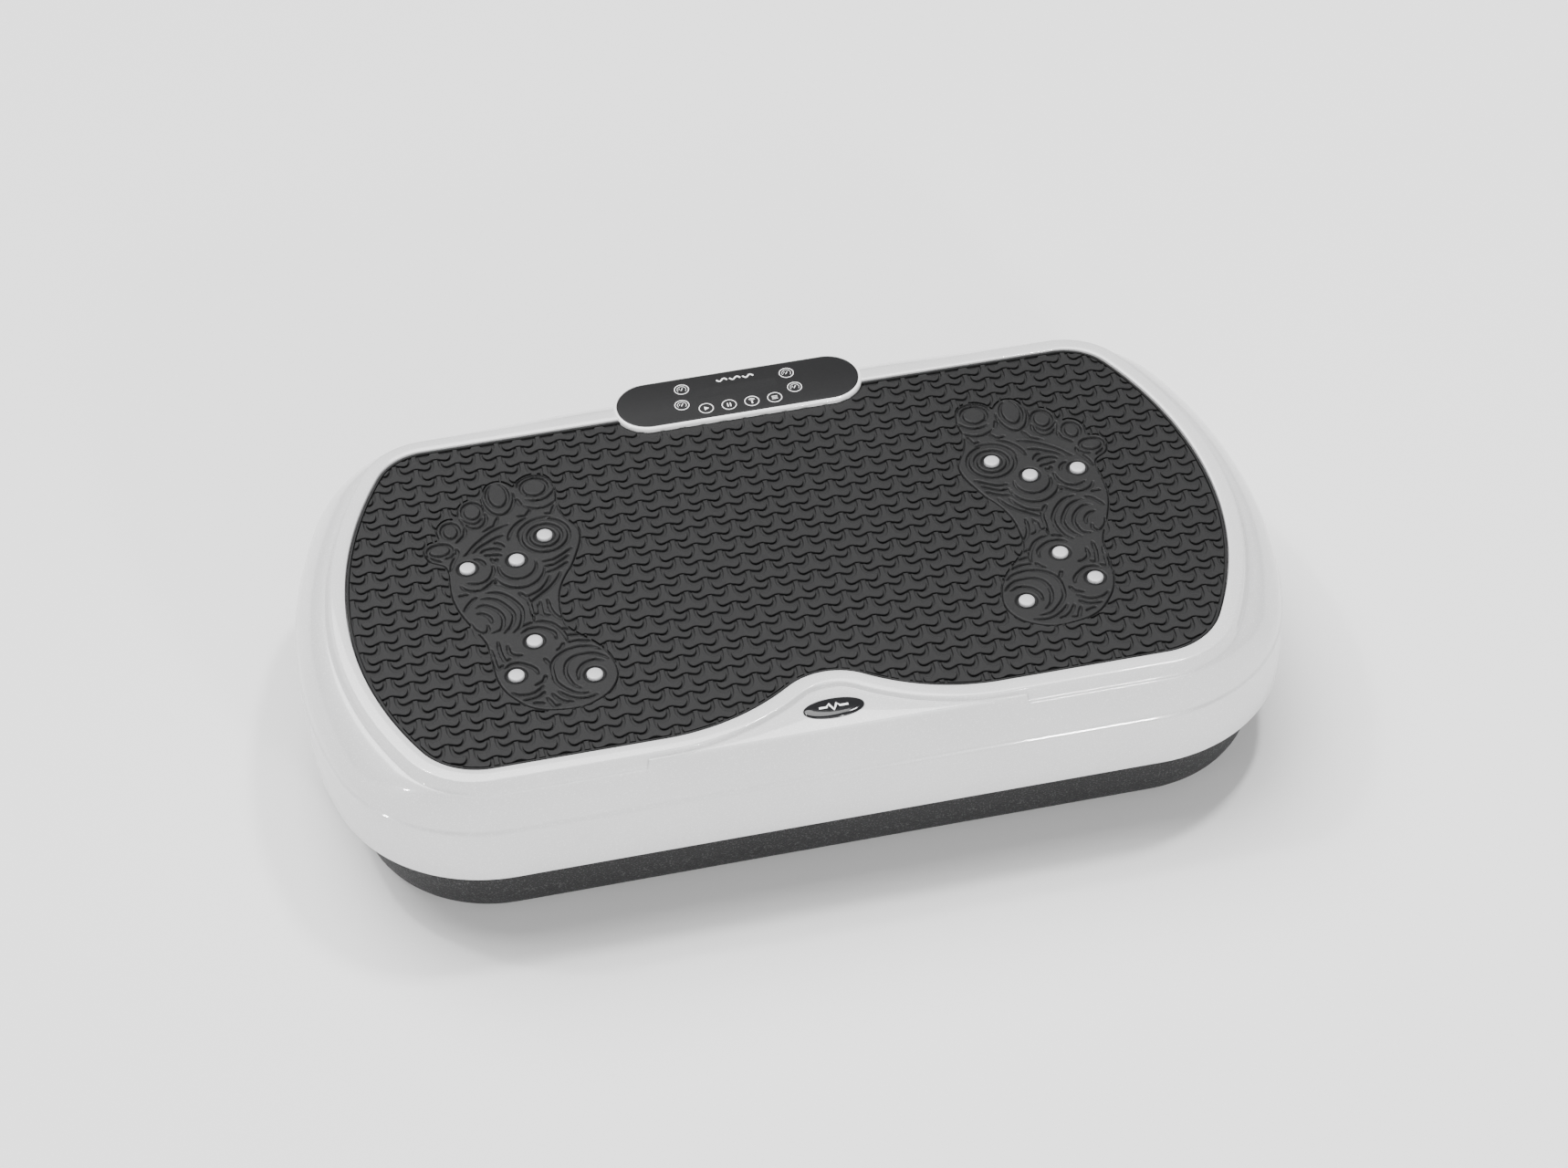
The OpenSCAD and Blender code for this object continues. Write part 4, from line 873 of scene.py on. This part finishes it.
jobs = [(cutter((-184, 129, 9.5), (-92, 135.5, 45), 0, "add_back"), "UNION"),
        (cutter((-180, 135, 12), (-96, 146, 42), 3, "cut_recess"), "DIFFERENCE"),
        (cutter((-164, 124, 16.5), (-136, 140, 37.5), 0, "cut_inlet"), "DIFFERENCE"),
        (cutter((-121, 124, 20.5), (-103, 140, 33.5), 0, "cut_switch"), "DIFFERENCE")]
for k in range(-3, 4):
    x = 120 + 7 * k
    jobs.append((cutter((x - 1.5, -27, 0), (x + 1.5, 17, 20), 1.2, f"cut_vent{k + 3}"), "DIFFERENCE"))
for sx in (-1, 1):
    for y in (-93, 83):
        hole = Build()
        hole.lathe([(2.2, 0), (2.2, 20)], (sx * 196, y), 24)
        jobs.append((hole.object(f"cut_foot{sx}{y}", looks["tray_plastic"], None), "DIFFERENCE"))
apply_booleans(base, jobs, 40)
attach(base, "base")
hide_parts("base_tray")

# ---------------------------------------------------------------- floor and light
floor_material = bpy.data.materials.new("studio_floor")
floor_material.use_nodes = True
floor_shader = floor_material.node_tree.nodes["Principled BSDF"]
floor_shader.inputs["Base Color"].default_value = (0.82, 0.82, 0.82, 1)
floor_shader.inputs["Roughness"].default_value = 0.9
floor_shader.inputs["Specular IOR Level"].default_value = 0.1
FLOOR_HALF = 15000
floor_corners = flat(rectangle(-FLOOR_HALF, -FLOOR_HALF, FLOOR_HALF, FLOOR_HALF), 0)
floor = add_mesh("studio_floor", floor_corners, [(0, 1, 2, 3)], floor_material, None)
world = bpy.data.worlds.new("studio")
world.use_nodes = True
world.node_tree.nodes["Background"].inputs["Color"].default_value = (1, 1, 1, 1)
world.node_tree.nodes["Background"].inputs["Strength"].default_value = 0.33
bpy.context.scene.world = world


def softbox(name, at, aim, size, power):
    """A small rectangular lamp at one point that faces another."""
    light = bpy.data.objects.new(name, bpy.data.lights.new(name, "AREA"))
    light.data.shape = "RECTANGLE"
    light.data.size, light.data.size_y = size
    light.data.energy = power
    turn = (Vector(aim) - Vector(at)).to_track_quat("-Z", "Y").to_matrix()
    light.matrix_world = Matrix.Translation(at) @ turn.to_4x4()
    bpy.context.scene.collection.objects.link(light)


def sun(name, toward, strength, degrees):
    """A wide patch of sky light in the given direction, as many degrees across."""
    light = bpy.data.objects.new(name, bpy.data.lights.new(name, "SUN"))
    light.data.energy = strength
    light.data.angle = math.radians(degrees)
    light.matrix_world = Vector(toward).to_track_quat("Z", "Y").to_matrix().to_4x4()
    bpy.context.scene.collection.objects.link(light)


sun("sky_top", (-0.25, 0.42, 1.0), 4.9, 50)
sun("sky_front", (0.05, -1.0, 0.3), 1.9, 60)
softbox("foot_strip", (0.80, 0.39, 2.5), (0.19, -0.14, 0.1), (0.2, 0.3), 42)
softbox("crease_strip", (0.69, -2.57, 0.9), (0.14, -0.15, 0.08), (0.22, 0.24), 38)
softbox("corner_top", (-1.19, 0.74, 2.5), (-0.215, -0.12, 0.1), (0.14, 0.2), 22)
softbox("corner_side", (-2.5, -0.79, 0.42), (-0.235, -0.125, 0.08), (0.14, 0.14), 16)
